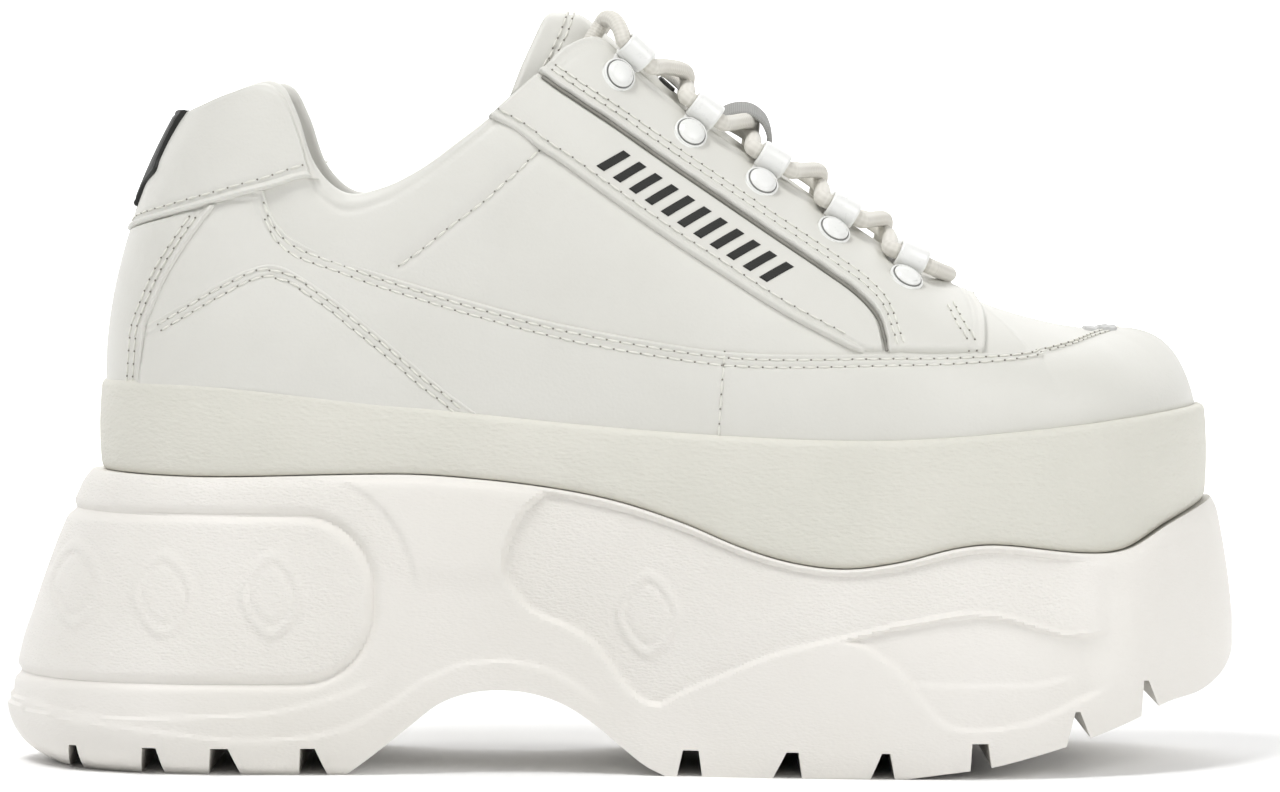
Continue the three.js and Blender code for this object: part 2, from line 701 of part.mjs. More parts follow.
function heelPanelGeometry() {
  const half = 11;
  const across = 3;
  const rim = 0.985;
  const end = heelPanelRows[heelPanelRows.length - 1].a;
  const layer = (distance) => {
    const column = (a, side) => {
      const low = wallAtHeight(a, along(heelPanelRows, 'a', 'z', a), side);
      return steps(across).map((v) => overUpper(a, low + (rim - low) * v, side, distance));
    };
    const outerSide = steps(half).map((u) => column(end * (1 - u), outer));
    const innerSide = steps(half).slice(1).map((u) => column(end * u, inner));
    return [...outerSide, ...innerSide];
  };
  return outwards(sheetBody(layer(overlayGap + panelThick), layer(overlayGap)));
}

// ---------- tongue ----------

const instepUp = new THREE.Vector3(-0.8, 0, 0.6); // up along the instep
const tongueSteps = 14; // across the tongue

// section of the tongue across the throat, at a depth below its outer face
function tongueSection(row, depth) {
  const legs = [outer, inner].map((side) => [row.low, (1 + row.low) / 2, 1].map((t) => {
    const drop = wallThick(row.a, t) + row.sink + depth;
    return overUpper(row.a, t, side, -drop);
  }));
  const open = row.a < throatFront;
  const middle = [0.25, 0.75].map((u) => legs[0][2].clone().lerp(legs[1][2], u));
  for (const p of middle) p.z += row.crown;
  const edges = open ? [legs[0][2], ...middle, legs[1][2]] : [legs[0][2]];
  const points = [legs[0][0], legs[0][1], ...edges, legs[1][1], legs[1][0]];
  const curve = new THREE.CatmullRomCurve3(points, false, 'centripetal');
  return curve.getSpacedPoints(tongueSteps).map((p) => p.addScaledVector(instepUp, row.lift));
}

function tongueGeometry() {
  const layer = (depth) => tongueRows.map((row) => tongueSection(row, depth));
  return outwards(sheetBody(layer(0), layer(tongueThick)));
}

// the tongue's outer face on its middle line, at one place along the throat
function tongueCrown(a) {
  const rows = tongueRows.slice().reverse();
  const row = { a, lift: 0 };
  for (const column of ['low', 'sink', 'crown']) row[column] = along(rows, 'a', column, a);
  return tongueSection(row, 0)[tongueSteps / 2];
}

// ---------- lace loops, rivets and lace ----------

// where a loop sits: its place, and the directions out of the leather, forwards along the
// throat and across towards the throat
function loopFrame(index, side) {
  const { a, t } = findOnUpper(loopRows[index].x, loopRows[index].z, outer);
  const place = upperPoint(a, t, side);
  const out = upperNormal(a, t, side);
  const edge = upperPoint(a + 0.01, t, side).sub(upperPoint(a - 0.01, t, side));
  const forward = edge.addScaledVector(out, -edge.dot(out)).normalize();
  const across = side === outer ? out.clone().cross(forward) : forward.clone().cross(out);
  const tube = place.clone().addScaledVector(out, tubeOut).addScaledVector(across, tubeAcross);
  return { a, place, out, forward, across, tube };
}

function inFrame(geometry, frame) {
  const basis = new THREE.Matrix4().makeBasis(frame.across, frame.out, frame.forward);
  basis.setPosition(frame.place);
  return geometry.applyMatrix4(basis);
}

// foot plate with a tube rolled at its end: a section across the loop, drawn along its tube
function loopGeometry(frame) {
  const centre = new THREE.Vector2(tubeAcross, tubeOut);
  const plateEnd = -4.4;
  const plateTurn = 0.6; // the plate bends up into the tube here
  const fold = 0.1; // width of the crease between tube and rivet
  const tubeEnd = Math.PI * 0.93;
  const shape = new THREE.Shape();
  shape.moveTo(plateEnd, gap);
  shape.lineTo(centre.x - plateTurn, gap);
  shape.absarc(centre.x, centre.y, loopRadius, -Math.PI / 2, tubeEnd, false);
  shape.lineTo(centre.x - loopRadius - fold, gap + plateThick);
  shape.lineTo(plateEnd, gap + plateThick);
  const bore = new THREE.Path();
  bore.absarc(centre.x, centre.y, loopBore, 0, 2 * Math.PI, true);
  shape.holes.push(bore);
  const options = { depth: loopLength, bevelEnabled: false, curveSegments: 5 };
  const geometry = new THREE.ExtrudeGeometry(shape, options);
  geometry.translate(0, 0, -loopLength / 2);
  return outwards(welded(inFrame(geometry, frame)));
}

function rivetGeometry(frame) {
  const base = gap + plateThick + gap; // on top of the loop's foot plate
  const dome = 1.9;
  const shoulder = new THREE.Vector2(rivetRadius * 0.72, base + dome * 0.8);
  const profile = [
    new THREE.Vector2(0, base),
    new THREE.Vector2(rivetRadius, base),
    shoulder,
    new THREE.Vector2(0, base + dome),
  ];
  const geometry = new THREE.LatheGeometry(profile, 10);
  return outwards(welded(inFrame(geometry, frame)));
}

function mouth(frame, direction, distance) {
  return frame.tube.clone().addScaledVector(frame.forward, direction * (loopLength / 2 + distance));
}

// one strand from the front mouth of a loop, over the tongue, to the back mouth of the next
// loop opposite; it crosses the middle a given height above that mouth
function strand(from, to, height) {
  const slack = 1.2; // the middle lies this far behind the mouth
  const sag = 0.6; // just after the loop
  const straight = 1.6; // out of a loop before the strand bends
  const start = mouth(from, 1, gap);
  const end = mouth(to, -1, 2 * gap);
  const middle = new THREE.Vector3(end.x - slack, (from.tube.y + to.tube.y) / 2, end.z + height);
  const leave = start.clone().lerp(middle, 0.4);
  leave.z = start.z - sag;
  return [start, mouth(from, 1, straight), leave, middle, mouth(to, -1, straight + 2 * gap), end];
}

function crossGeometry(outerLoops, innerLoops, i) {
  const over = strand(outerLoops[i], innerLoops[i + 1], crossRise);
  const under = strand(innerLoops[i], outerLoops[i + 1], crossDrop);
  const [first, second] = [over, under].map((points) => {
    const geometry = welded(cord(points, laceRadius, 10));
    return toSolid(outwards(geometry));
  });
  return fromSolid(first.add(second));
}

// the front bar, over the vamp just before the throat
function barGeometry(outerLoop, innerLoop) {
  const ahead = 6.8; // the bar's middle lies this far in front of the loops
  const aboveVamp = 1.6;
  const straight = 1.4; // out of a loop before the bar bends
  const loops = [outerLoop, innerLoop];
  const ridge = wallLineRows.filter((row) => row.a >= throatFront);
  const starts = loops.map((loop) => mouth(loop, 1, gap));
  const middle = starts[0].clone().add(starts[1]).multiplyScalar(0.5);
  middle.x += ahead;
  middle.z = along(ridge, 'x', 'z', middle.x) + laceRadius + aboveVamp;
  const bends = loops.map(({ forward }, i) => {
    const bend = starts[i].clone().lerp(middle, 0.42);
    return bend.addScaledVector(forward, 2.4);
  });
  const points = [
    starts[0],
    mouth(outerLoop, 1, straight),
    bends[0],
    middle,
    bends[1],
    mouth(innerLoop, 1, straight),
    starts[1],
  ];
  return outwards(welded(cord(points, laceRadius, 14)));
}

// a lace end: through the top loop, up in an arch and down behind the eyestay's top edge
function laceEndGeometry(loop, side) {
  const shortOfMouth = 0.2;
  const start = mouth(loop, -1, 0.4);
  const arch = laceEndRows.map((step) => new THREE.Vector3(
    start.x - step.back,
    start.y - side * step.in,
    start.z + step.up,
  ));
  const tuck = laceTuck.reach.map((t) => overUpper(laceTuck.a, t, side, -laceTuck.depth));
  const points = [mouth(loop, 1, -shortOfMouth), mouth(loop, -1, 0), start, ...arch, ...tuck];
  return outwards(welded(cord(points, laceRadius, 18)));
}

// arched strap down the middle of the tongue, over one lace crossing
function keeperGeometry(crossing, crown) {
  const forward = new THREE.Vector2(0.8, -0.6); // down the instep
  const away = new THREE.Vector2(0.6, 0.8); // and square to it
  const place = (run, lift) => new THREE.Vector2(crossing.x, crossing.z)
    .addScaledVector(forward, run)
    .addScaledVector(away, lift);
  const over = keeperRows.map(({ run, lift }) => place(run * keeperSpread, lift + keeperThick));
  const under = keeperRows.map(({ run, lift }) => place(run, lift)).reverse();
  const shape = new THREE.Shape([...over, ...under]);
  const geometry = new THREE.ExtrudeGeometry(shape, { depth: keeperWidth, bevelEnabled: false });
  geometry.rotateX(Math.PI / 2);
  geometry.translate(0, crown.y + keeperWidth / 2, 0);
  return outwards(welded(geometry));
}

// ---------- assembly ----------

const finishes = {
  leather: { color: 0xdedfd5, roughness: 0.5, metalness: 0 },
  band: { color: 0xd7d6cc, roughness: 0.65, metalness: 0 },
  rubber: { color: 0xe4e1d7, roughness: 0.6, metalness: 0 },
  lining: { color: 0xc9c8c0, roughness: 0.85, metalness: 0 },
  lace: { color: 0xd1cfc5, roughness: 0.9, metalness: 0 },
  enamel: { color: 0xeaebe6, roughness: 0.3, metalness: 0 },
  tape: { color: 0xb3b3b0, roughness: 0.8, metalness: 0 },
};

const shoe = new THREE.Group();

function piece(name, finish, geometry) {
  const mesh = new THREE.Mesh(geometry, new THREE.MeshStandardMaterial(finishes[finish]));
  mesh.name = name;
  shoe.add(mesh);
}

piece('outsole', 'rubber', outsoleGeometry());
piece('midsole', 'band', midsoleGeometry());
piece('upper', 'leather', upperGeometry());
piece('tongue', 'leather', tongueGeometry());
piece('insole', 'lining', insoleGeometry());
piece('heel_panel', 'leather', heelPanelGeometry());
piece('side_strap_lateral', 'leather', strapGeometry(outer));
piece('side_strap_medial', 'leather', strapGeometry(inner));

const sides = [
  { name: 'lateral', side: outer },
  { name: 'medial', side: inner },
];
const loops = {};
for (const { name, side } of sides) {
  loops[name] = loopRows.map((_, i) => loopFrame(i, side));
  loops[name].forEach((frame, i) => {
    piece(`lace_loop_${name}_${i + 1}`, 'enamel', loopGeometry(frame));
    piece(`rivet_${name}_${i + 1}`, 'enamel', rivetGeometry(frame));
  });
  piece(`lace_end_${name}`, 'lace', laceEndGeometry(loops[name][0], side));
}
for (let i = 0; i < loopRows.length - 1; i += 1) {
  piece(`lace_cross_${i + 1}${i + 2}`, 'lace', crossGeometry(loops.lateral, loops.medial, i));
}
piece('lace_bar', 'lace', barGeometry(loops.lateral[4], loops.medial[4]));
const keeperCrossing = strand(loops.lateral[1], loops.medial[2], crossRise)[3];
piece('lace_keeper', 'tape', keeperGeometry(keeperCrossing, tongueCrown(loops.lateral[2].a)));

export default shoe;
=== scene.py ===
# Platform sneaker for the right foot: leather upper with sewn panels, padded tongue, round
# lace through tube loops and a thick moulded sole. Tables are in millimetres, meshes in metres.
# +X is the toe, -Y the outer side of the foot and +Z up.
import json
import math

import bmesh
import bpy
import numpy as np
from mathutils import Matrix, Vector
from mathutils.bvhtree import BVHTree

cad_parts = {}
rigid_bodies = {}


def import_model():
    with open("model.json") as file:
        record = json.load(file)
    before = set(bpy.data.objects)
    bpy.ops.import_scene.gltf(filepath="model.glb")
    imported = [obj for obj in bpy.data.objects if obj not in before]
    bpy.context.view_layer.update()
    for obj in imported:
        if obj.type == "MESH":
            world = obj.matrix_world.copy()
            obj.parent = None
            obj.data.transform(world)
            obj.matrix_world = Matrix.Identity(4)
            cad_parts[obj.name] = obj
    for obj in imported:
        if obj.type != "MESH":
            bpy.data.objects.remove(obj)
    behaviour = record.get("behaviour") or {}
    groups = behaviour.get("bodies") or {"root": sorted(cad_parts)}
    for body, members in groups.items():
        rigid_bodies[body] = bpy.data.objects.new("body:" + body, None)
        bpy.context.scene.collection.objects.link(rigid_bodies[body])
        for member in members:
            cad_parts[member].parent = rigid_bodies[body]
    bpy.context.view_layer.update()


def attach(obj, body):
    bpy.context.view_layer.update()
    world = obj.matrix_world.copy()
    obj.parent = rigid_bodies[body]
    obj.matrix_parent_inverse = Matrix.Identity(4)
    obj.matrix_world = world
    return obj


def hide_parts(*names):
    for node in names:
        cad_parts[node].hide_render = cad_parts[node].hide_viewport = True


for leftover in list(bpy.data.objects):
    bpy.data.objects.remove(leftover)
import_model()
millimetre = 0.001
outer = -1
inner = 1
bothSides = {"lateral": outer, "medial": inner}
print("frame loaded")

# camera
cameraSet = {"place": (3.75, -1500, 150), "aim": (3.75, 0, 91), "lens": 168.75, "sensor": 36}


def makeCamera(setting):
    data = bpy.data.cameras.new("camera")
    data.lens = setting["lens"]
    data.sensor_width = setting["sensor"]
    cameraObject = bpy.data.objects.new("camera", data)
    bpy.context.scene.collection.objects.link(cameraObject)
    place = Vector(setting["place"]) * millimetre
    aim = Vector(setting["aim"]) * millimetre
    cameraObject.location = place
    cameraObject.rotation_euler = (aim - place).to_track_quat("-Z", "Y").to_euler()
    bpy.context.scene.camera = cameraObject


makeCamera(cameraSet)


# curves through tables
def hermite(places, values, at):
    slope = np.empty_like(values)
    slope[1:-1] = ((values[2:] - values[:-2]).T / (places[2:] - places[:-2])).T
    slope[0] = (values[1] - values[0]) / (places[1] - places[0])
    slope[-1] = (values[-1] - values[-2]) / (places[-1] - places[-2])
    at = np.clip(np.asarray(at, float), places[0], places[-1])
    i = np.clip(np.searchsorted(places, at, side="right") - 1, 0, len(places) - 2)
    span = places[i + 1] - places[i]
    u = (at - places[i]) / span
    rest = 1 - u
    if values.ndim == 1:
        before, after, leaving, arriving = values[i], values[i + 1], slope[i], slope[i + 1]
    else:
        before, after, leaving, arriving = (
            np.take_along_axis(grid, k[None, ...], 0)[0]
            for grid, k in ((values, i), (values, i + 1), (slope, i), (slope, i + 1))
        )
    ends = rest * rest * (1 + 2 * u) * before + u * u * (3 - 2 * u) * after
    return ends + (u * rest * rest * leaving - u * u * rest * arriving) * span


def table(columns, rows):
    grid = np.array(rows, float)
    return {
        name: (lambda at, k=k: hermite(grid[:, 0], grid[:, k], at))
        for k, name in enumerate(columns.split()) if k
    }


def line(*points):
    grid = np.array(points, float)
    return lambda at: hermite(grid[:, 0], grid[:, 1], at)


def smoothStep(u):
    t = np.clip(u, 0, 1)
    return t * t * (3 - 2 * t)


def fade(x, low, high):
    return smoothStep((x - low) / (high - low))


def bump(distance, width):
    return np.exp(-((distance / width) ** 2))


def rib(distance, form):  # form is the rib's height, where it stands and how wide it is
    height, place, width = form
    return height * bump(distance - place, width)


def unit(v):
    return v / np.maximum(np.linalg.norm(v, axis=-1, keepdims=True), 1e-9)


def runLength(p):  # length along a path up to each of its points
    return np.concatenate([[0], np.cumsum(np.linalg.norm(np.diff(p, axis=0), axis=1))])


def smoothPath(points, count):
    p = np.array(points, float)
    chord = np.concatenate([[0], np.cumsum(np.sqrt(np.linalg.norm(np.diff(p, axis=0), axis=1)))])
    at = np.linspace(0, chord[-1], count * 4)
    dense = np.stack([hermite(chord, p[:, k], at) for k in range(3)], 1)
    run = runLength(dense)
    even = np.linspace(0, run[-1], count)
    return np.stack([np.interp(even, run, dense[:, k]) for k in range(3)], 1)


# the shoe's own forms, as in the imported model
shape = {"heelX": -128, "toeX": 142, "toeTurn": 9, "turnStart": -40, "turnLength": 180, "gap": 0.3,
         "wall": 2.4, "collarPadding": 3.6, "throatFront": 0.76}

outline = table("a outer inner", [
    (0.0, 0.0, 0.0), (0.1, 19.0, 19.0), (0.2, 29.5, 29.3), (0.3, 33.5, 31.5), (0.4, 36.0, 30.0),
    (0.5, 42.0, 31.0), (0.6, 49.5, 36.4), (0.7, 52.0, 39.1), (0.8, 43.2, 34.4), (0.9, 23.5, 21.0),
    (1.0, 0.0, 0.0),
])
lipHeight = line((-131, 95.8), (-104, 95.6), (-79, 93.3), (-30, 87.6), (18, 83.5), (62, 82.0),
                 (101, 84.5), (146, 89.4))
seamHeight = line((-134, 73.2), (-104, 72.3), (-55, 73.2), (-35, 72.0), (-16, 69.7), (-1, 66.6),
                  (14, 61.7), (28, 55.9), (40, 52.3), (53, 50.7), (66, 52.2), (81, 55.8),
                  (91, 56.5), (113, 54.1), (123, 54.9), (134, 60.5), (149, 66.6))
wallLine = table("a x half z rise bulge reach lean", [
    (0.0, -108.8, 0.0, 162.0, 20, 0.2, 26, 60),
    (0.05, -107.2, 9.0, 162.7, 20, 0.5, 25, 61),
    (0.1, -102.8, 16.8, 164.8, 21, 1.0, 24, 64),
    (0.15, -96.0, 22.2, 168.0, 25, 1.8, 24, 68),
    (0.2, -88.0, 25.8, 170.2, 26, 2.4, 25, 73),
    (0.225, -83.4, 27.4, 168.0, 24, 2.5, 23, 77),
    (0.25, -79.6, 28.8, 160.5, 22, 2.5, 19, 80),
    (0.275, -75.6, 30.4, 148.8, 19, 2.5, 16, 83),
    (0.3, -68.5, 31.6, 142.4, 17, 2.5, 15, 84),
    (0.325, -59.5, 32.3, 143.6, 17, 2.5, 16, 84),
    (0.35, -50.0, 32.3, 148.3, 19, 2.6, 18, 82),
    (0.375, -41.0, 31.6, 154.8, 22, 2.8, 20, 79),
    (0.4, -33.0, 30.2, 160.9, 24, 3.0, 22, 75),
    (0.42, -26.6, 27.8, 167.0, 26, 3.2, 24, 68),
    (0.44, -20.4, 24.0, 172.6, 29, 3.4, 26, 60),
    (0.46, -14.6, 19.4, 178.4, 31, 3.5, 27, 53),
    (0.48, -6.8, 15.0, 180.7, 32, 3.5, 28, 47),
    (0.5, 0.5, 13.4, 174.4, 32, 3.4, 28, 44),
    (0.56, 18.4, 13.0, 159.3, 30, 3.0, 26, 38),
    (0.61, 36.0, 12.8, 147.0, 27, 2.4, 24, 33),
    (0.66, 53.6, 12.6, 134.9, 23, 2.0, 22, 28),
    (0.71, 71.0, 12.0, 123.2, 19, 1.4, 21, 20),
    (0.74, 78.6, 8.6, 119.2, 17, 1.0, 23, 11),
    (0.76, 81.2, 0.0, 117.9, 16, 0.6, 27, 4),
    (0.8, 93.0, 0.0, 113.0, 14.5, 0.2, 25, 0),
    (0.85, 105.0, 0.0, 109.6, 12.5, -0.4, 20, 0),
    (0.9, 114.0, 0.0, 108.0, 11, -1.2, 16, 0),
    (0.95, 120.5, 0.0, 107.4, 10.5, -2.0, 13, 0),
    (1.0, 124.0, 0.0, 107.2, 10, -2.4, 12, 0),
])
ridge = line((81.2, 117.9), (93.0, 113.0), (105.0, 109.6), (114.0, 108.0), (120.5, 107.4),
             (124.0, 107.2))


def axisY(x):
    return shape["toeTurn"] * smoothStep((x - shape["turnStart"]) / shape["turnLength"])


def lowerEdge(a, side):
    a = np.asarray(a, float)
    x = shape["heelX"] + (shape["toeX"] - shape["heelX"]) * (1 - np.cos(np.pi * a)) / 2
    half = np.where(np.asarray(side) == outer, outline["outer"](a), outline["inner"](a))
    return np.stack([x, axisY(x) + side * half], -1)


def outward(a, side):
    step = 0.002
    run = lowerEdge(np.minimum(a + step, 1), side) - lowerEdge(np.maximum(a - step, 0), side)
    run = unit(run)
    return np.stack([-side * run[..., 1], side * run[..., 0]], -1)


def upperPoint(a, t, side):
    a, t, side = np.broadcast_arrays(np.asarray(a, float), np.asarray(t, float), side)
    foot = lowerEdge(a, side)
    out = outward(a, side)
    level = np.zeros(a.shape)
    start = np.stack([foot[..., 0], foot[..., 1], lipHeight(foot[..., 0]) + shape["gap"]], -1)
    topX = wallLine["x"](a)
    closed = a >= shape["throatFront"] - 1e-6
    half = np.where(closed, 0, np.maximum(wallLine["half"](a), 0))
    end = np.stack([topX, axisY(topX) + side * half, wallLine["z"](a)], -1)
    away = np.stack([out[..., 0], out[..., 1], level], -1)
    up = np.array([0, 0, 1.0])
    leave = start + away * wallLine["bulge"](a)[..., None] + up * wallLine["rise"](a)[..., None]
    lean = np.radians(wallLine["lean"](a))
    fall = np.where(closed, (ridge(topX + 1) - ridge(topX - 1)) / 2, 0)
    arrive = -away * np.cos(lean)[..., None]
    arrive = arrive + up * (np.sin(lean) - out[..., 0] * fall)[..., None]
    near = end - arrive * wallLine["reach"](a)[..., None]
    u = t[..., None]
    rest = 1 - u
    return rest**3 * start + 3 * rest**2 * u * leave + 3 * rest * u**2 * near + u**3 * end


def upperNormal(a, t, side):
    step = 0.004
    a, t, side = np.broadcast_arrays(np.asarray(a, float), np.asarray(t, float), side)
    alongA = upperPoint(np.minimum(a + step, 1), t, side) - upperPoint(np.maximum(a - step, 0), t, side)
    alongT = upperPoint(a, np.minimum(t + step, 1), side) - upperPoint(a, np.minimum(t, 1) - step, side)
    return unit(np.cross(alongT, alongA) * side[..., None])


def overUpper(a, t, side, distance):
    a, t, distance = np.broadcast_arrays(np.asarray(a, float), t, distance)
    return upperPoint(a, t, side) + upperNormal(a, t, side) * distance[..., None]


seedA, seedT = np.meshgrid(np.linspace(0.03, 1, 70), np.linspace(0, 1, 25), indexing="ij")
seeds = {side: upperPoint(seedA, seedT, side)[..., [0, 2]].reshape(-1, 2) for side in (outer, inner)}


def findOnUpper(x, z, side):  # a and t of the places that show at x and z from the side
    x, z = np.broadcast_arrays(np.asarray(x, float), np.asarray(z, float))
    flat = np.stack([x.ravel(), z.ravel()], 1)
    start = np.array([np.argmin(((seeds[side] - p) ** 2).sum(1)) for p in flat])
    a = seedA.ravel()[start]
    t = seedT.ravel()[start]
    step = 1e-4
    for _ in range(12):
        here = upperPoint(a, t, side)[:, [0, 2]]
        byA = (upperPoint(a + step, t, side)[:, [0, 2]] - here) / step
        byT = (upperPoint(a, t + step, side)[:, [0, 2]] - here) / step
        miss = flat - here
        area = byA[:, 0] * byT[:, 1] - byA[:, 1] * byT[:, 0]
        area = np.where(np.abs(area) < 1e-3, 1e-3, area)
        moveA = (miss[:, 0] * byT[:, 1] - miss[:, 1] * byT[:, 0]) / area
        moveT = (byA[:, 0] * miss[:, 1] - byA[:, 1] * miss[:, 0]) / area
        a = np.clip(a + np.clip(moveA, -0.03, 0.03), 0, 0.999)
        t = np.clip(t + np.clip(moveT, -0.1, 0.1), -0.06, 1)
    return a.reshape(x.shape), t.reshape(x.shape)


def underLine(a, side, height, lowest=0.0):  # t at which the wall passes a line drawn in the side view
    low, high = np.full(np.shape(a), lowest), np.ones(np.shape(a))
    for _ in range(22):
        middle = (low + high) / 2
        p = upperPoint(a, middle, side)
        below = p[..., 2] < height(p[..., 0])
        low, high = np.where(below, middle, low), np.where(below, high, middle)
    return high


def heightPlaces(a, z, side):  # t at which the wall has the height z
    return underLine(a, side, lambda x: z, -0.06)


def wallThick(a, t):
    atCollar = 1 - smoothStep((a - 0.34) / 0.1)
    return shape["wall"] + shape["collarPadding"] * atCollar * smoothStep((t - 0.35) / 0.4)



# meshes
def addObject(name, points, edges, faces):
    mesh = bpy.data.meshes.new(name)
    mesh.from_pydata(points, edges, faces)
    made = bpy.data.objects.new(name, mesh)
    bpy.context.scene.collection.objects.link(made)
    return made


def applyModifiers(piece):
    graph = bpy.context.evaluated_depsgraph_get()
    made = bpy.data.meshes.new_from_object(piece.evaluated_get(graph))
    piece.modifiers.clear()
    piece.data = made


def newPiece(name, points, faces, materials, uv=None, slots=None, solid=True):
    points = np.asarray(points, float).reshape(-1, 3) * millimetre
    faces = np.asarray(faces)
    if solid:
        a, b, c = points[faces[:, 0]], points[faces[:, 1]], points[faces[:, 2]]
        volume = np.einsum("ij,ij->", a, np.cross(b, c))
        if faces.shape[1] == 4:
            d = points[faces[:, 3]]
            volume += np.einsum("ij,ij->", a, np.cross(c, d))
        if volume < 0:
            faces = faces[:, ::-1]
    piece = addObject(name, points.tolist(), [], [list(dict.fromkeys(face)) for face in faces.tolist()])
    mesh = piece.data
    for material in materials:
        mesh.materials.append(material)
    if slots is not None:
        mesh.polygons.foreach_set("material_index", np.asarray(slots, np.int32))
    if uv is not None:
        layer = mesh.uv_layers.new(name="run")
        corner = np.empty(len(mesh.loops), np.int32)
        mesh.loops.foreach_get("vertex_index", corner)
        layer.data.foreach_set("uv", np.asarray(uv, np.float32)[corner].ravel())
    mesh.shade_smooth()
    return piece


def finishPiece(piece, slot, *nodes):
    if nodes:
        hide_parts(*nodes)
    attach(piece, "root")


def weld(piece, distance=0.004):
    bm = bmesh.new()
    bm.from_mesh(piece.data)
    bmesh.ops.remove_doubles(bm, verts=bm.verts, dist=distance * millimetre)
    bmesh.ops.dissolve_degenerate(bm, edges=bm.edges, dist=distance * millimetre / 4)
    bmesh.ops.recalc_face_normals(bm, faces=bm.faces)
    bm.to_mesh(piece.data)
    bm.free()
    piece.data.shade_smooth()


def gridFaces(rows, columns, start=0, wrap=False):
    r = np.arange(rows - 1)[:, None]
    c = np.arange(columns if wrap else columns - 1)[None, :]
    after = (c + 1) % columns
    here, above = r * columns, (r + 1) * columns
    return np.stack([here + c, here + after, above + after, above + c], -1).reshape(-1, 4) + start


def closedSheet(top, under):  # shell between two grids of points
    rows, columns = top.shape[:2]
    size = rows * columns
    upper = gridFaces(rows, columns)
    lower = gridFaces(rows, columns, size)[:, ::-1]
    around = np.concatenate([
        np.arange(columns), np.arange(1, rows) * columns + columns - 1,
        (rows - 1) * columns + np.arange(columns - 2, -1, -1), np.arange(rows - 2, 0, -1) * columns,
    ])
    after = np.roll(around, -1)
    rim = np.stack([after, around, around + size, after + size], -1)
    return np.concatenate([top.reshape(-1, 3), under.reshape(-1, 3)]), np.concatenate([upper, lower, rim])


def distanceTo(points, paths):
    flat = points.reshape(-1, 3)
    best = np.full(len(flat), 1e9)
    for path in paths:
        for p, q in zip(path[:-1], path[1:]):
            along = q - p
            u = np.clip(((flat - p) @ along) / max(along @ along, 1e-9), 0, 1)
            miss = flat - p - u[:, None] * along
            best = np.minimum(best, np.einsum("ij,ij->i", miss, miss))
    return np.sqrt(best).reshape(points.shape[:-1])


def tube(p, radius, sides):  # closed round bar along a path, with its run as UV
    run = unit(np.gradient(p, axis=0))
    normal = np.cross(run[0], [0.3, 0.1, 1.0])
    rings = []
    turn = np.linspace(0, 2 * np.pi, sides + 1)
    for k in range(len(p)):
        normal = normal - run[k] * (normal @ run[k])
        normal = normal / np.linalg.norm(normal)
        across = np.cross(run[k], normal)
        rings.append(p[k] + radius * (np.cos(turn)[:, None] * normal + np.sin(turn)[:, None] * across))
    points = np.concatenate(rings)
    uv = np.stack([np.repeat(runLength(p), sides + 1), np.tile(np.linspace(0, 1, sides + 1), len(p))], 1)
    faces = gridFaces(len(p), sides + 1)
    for start, middle in ((0, p[0]), ((len(p) - 1) * (sides + 1), p[-1])):
        hub = np.full(sides, len(points))
        points = np.concatenate([points, middle[None, :]])
        uv = np.concatenate([uv, uv[start][None, :]])
        ring = start + np.arange(sides)
        fan = np.stack([ring, ring + 1, hub, hub], 1)
        faces = np.concatenate([faces, fan if start else fan[:, ::-1]])
    return points, faces, uv



# materials
class Tree:  # short way to write a material's nodes
    def __init__(self, name):
        self.material = bpy.data.materials.new(name)
        self.material.use_nodes = True
        self.nodes = self.material.node_tree.nodes
        self.links = self.material.node_tree.links
        self.shader = self.nodes["Principled BSDF"]

    def link(self, start, end):
        self.links.new(start, end)


def setShader(tree, look):
    settings = {"Roughness": look["roughness"], "Specular IOR Level": look["specular"],
                "Sheen Weight": look.get("sheen", 0.0), "Sheen Roughness": 0.5,
                "Coat Weight": look.get("coat", 0.0), "Coat Roughness": 0.25}
    for name, value in settings.items():
        tree.shader.inputs[name].default_value = value


def linear(rgb):
    c = np.array(rgb, float) / 255
    c = np.where(c <= 0.04045, c / 12.92, ((c + 0.055) / 1.055) ** 2.4)
    return (*c.tolist(), 1.0)


def texture(tree, kind, place, size, stretch, **values):  # size in millimetres, stretch for each axis
    mapping = tree.nodes.new("ShaderNodeMapping")
    mapping.inputs["Scale"].default_value = [s / (size * millimetre) for s in stretch]
    node = tree.nodes.new(kind)
    for name, value in {"Scale": 1.0, **values}.items():
        node.inputs[name].default_value = value
    tree.link(place, mapping.inputs["Vector"])
    tree.link(mapping.outputs["Vector"], node.inputs["Vector"])
    return node


def noise(tree, place, size, detail=3.0, roughness=0.55, stretch=(1, 1, 1)):
    node = texture(tree, "ShaderNodeTexNoise", place, size, stretch, Detail=detail, Roughness=roughness)
    return node.outputs["Fac"]


def cells(tree, place, size, stretch):
    return texture(tree, "ShaderNodeTexVoronoi", place, size, stretch).outputs["Distance"]


def maths(tree, operation, *values):
    node = tree.nodes.new("ShaderNodeMath")
    node.operation = operation
    for socket, value in zip(node.inputs, values):
        if isinstance(value, (int, float)):
            socket.default_value = value
        else:
            tree.link(value, socket)
    return node.outputs[0]


def tint(tree, factor, low, high):  # colour between two tones
    node = tree.nodes.new("ShaderNodeMix")
    node.data_type = "RGBA"
    start, end = (socket for socket in node.inputs if socket.identifier in ("A_Color", "B_Color"))
    start.default_value, end.default_value = linear(low), linear(high)
    tree.link(factor, node.inputs["Factor"])
    return next(socket for socket in node.outputs if socket.identifier == "Result_Color")


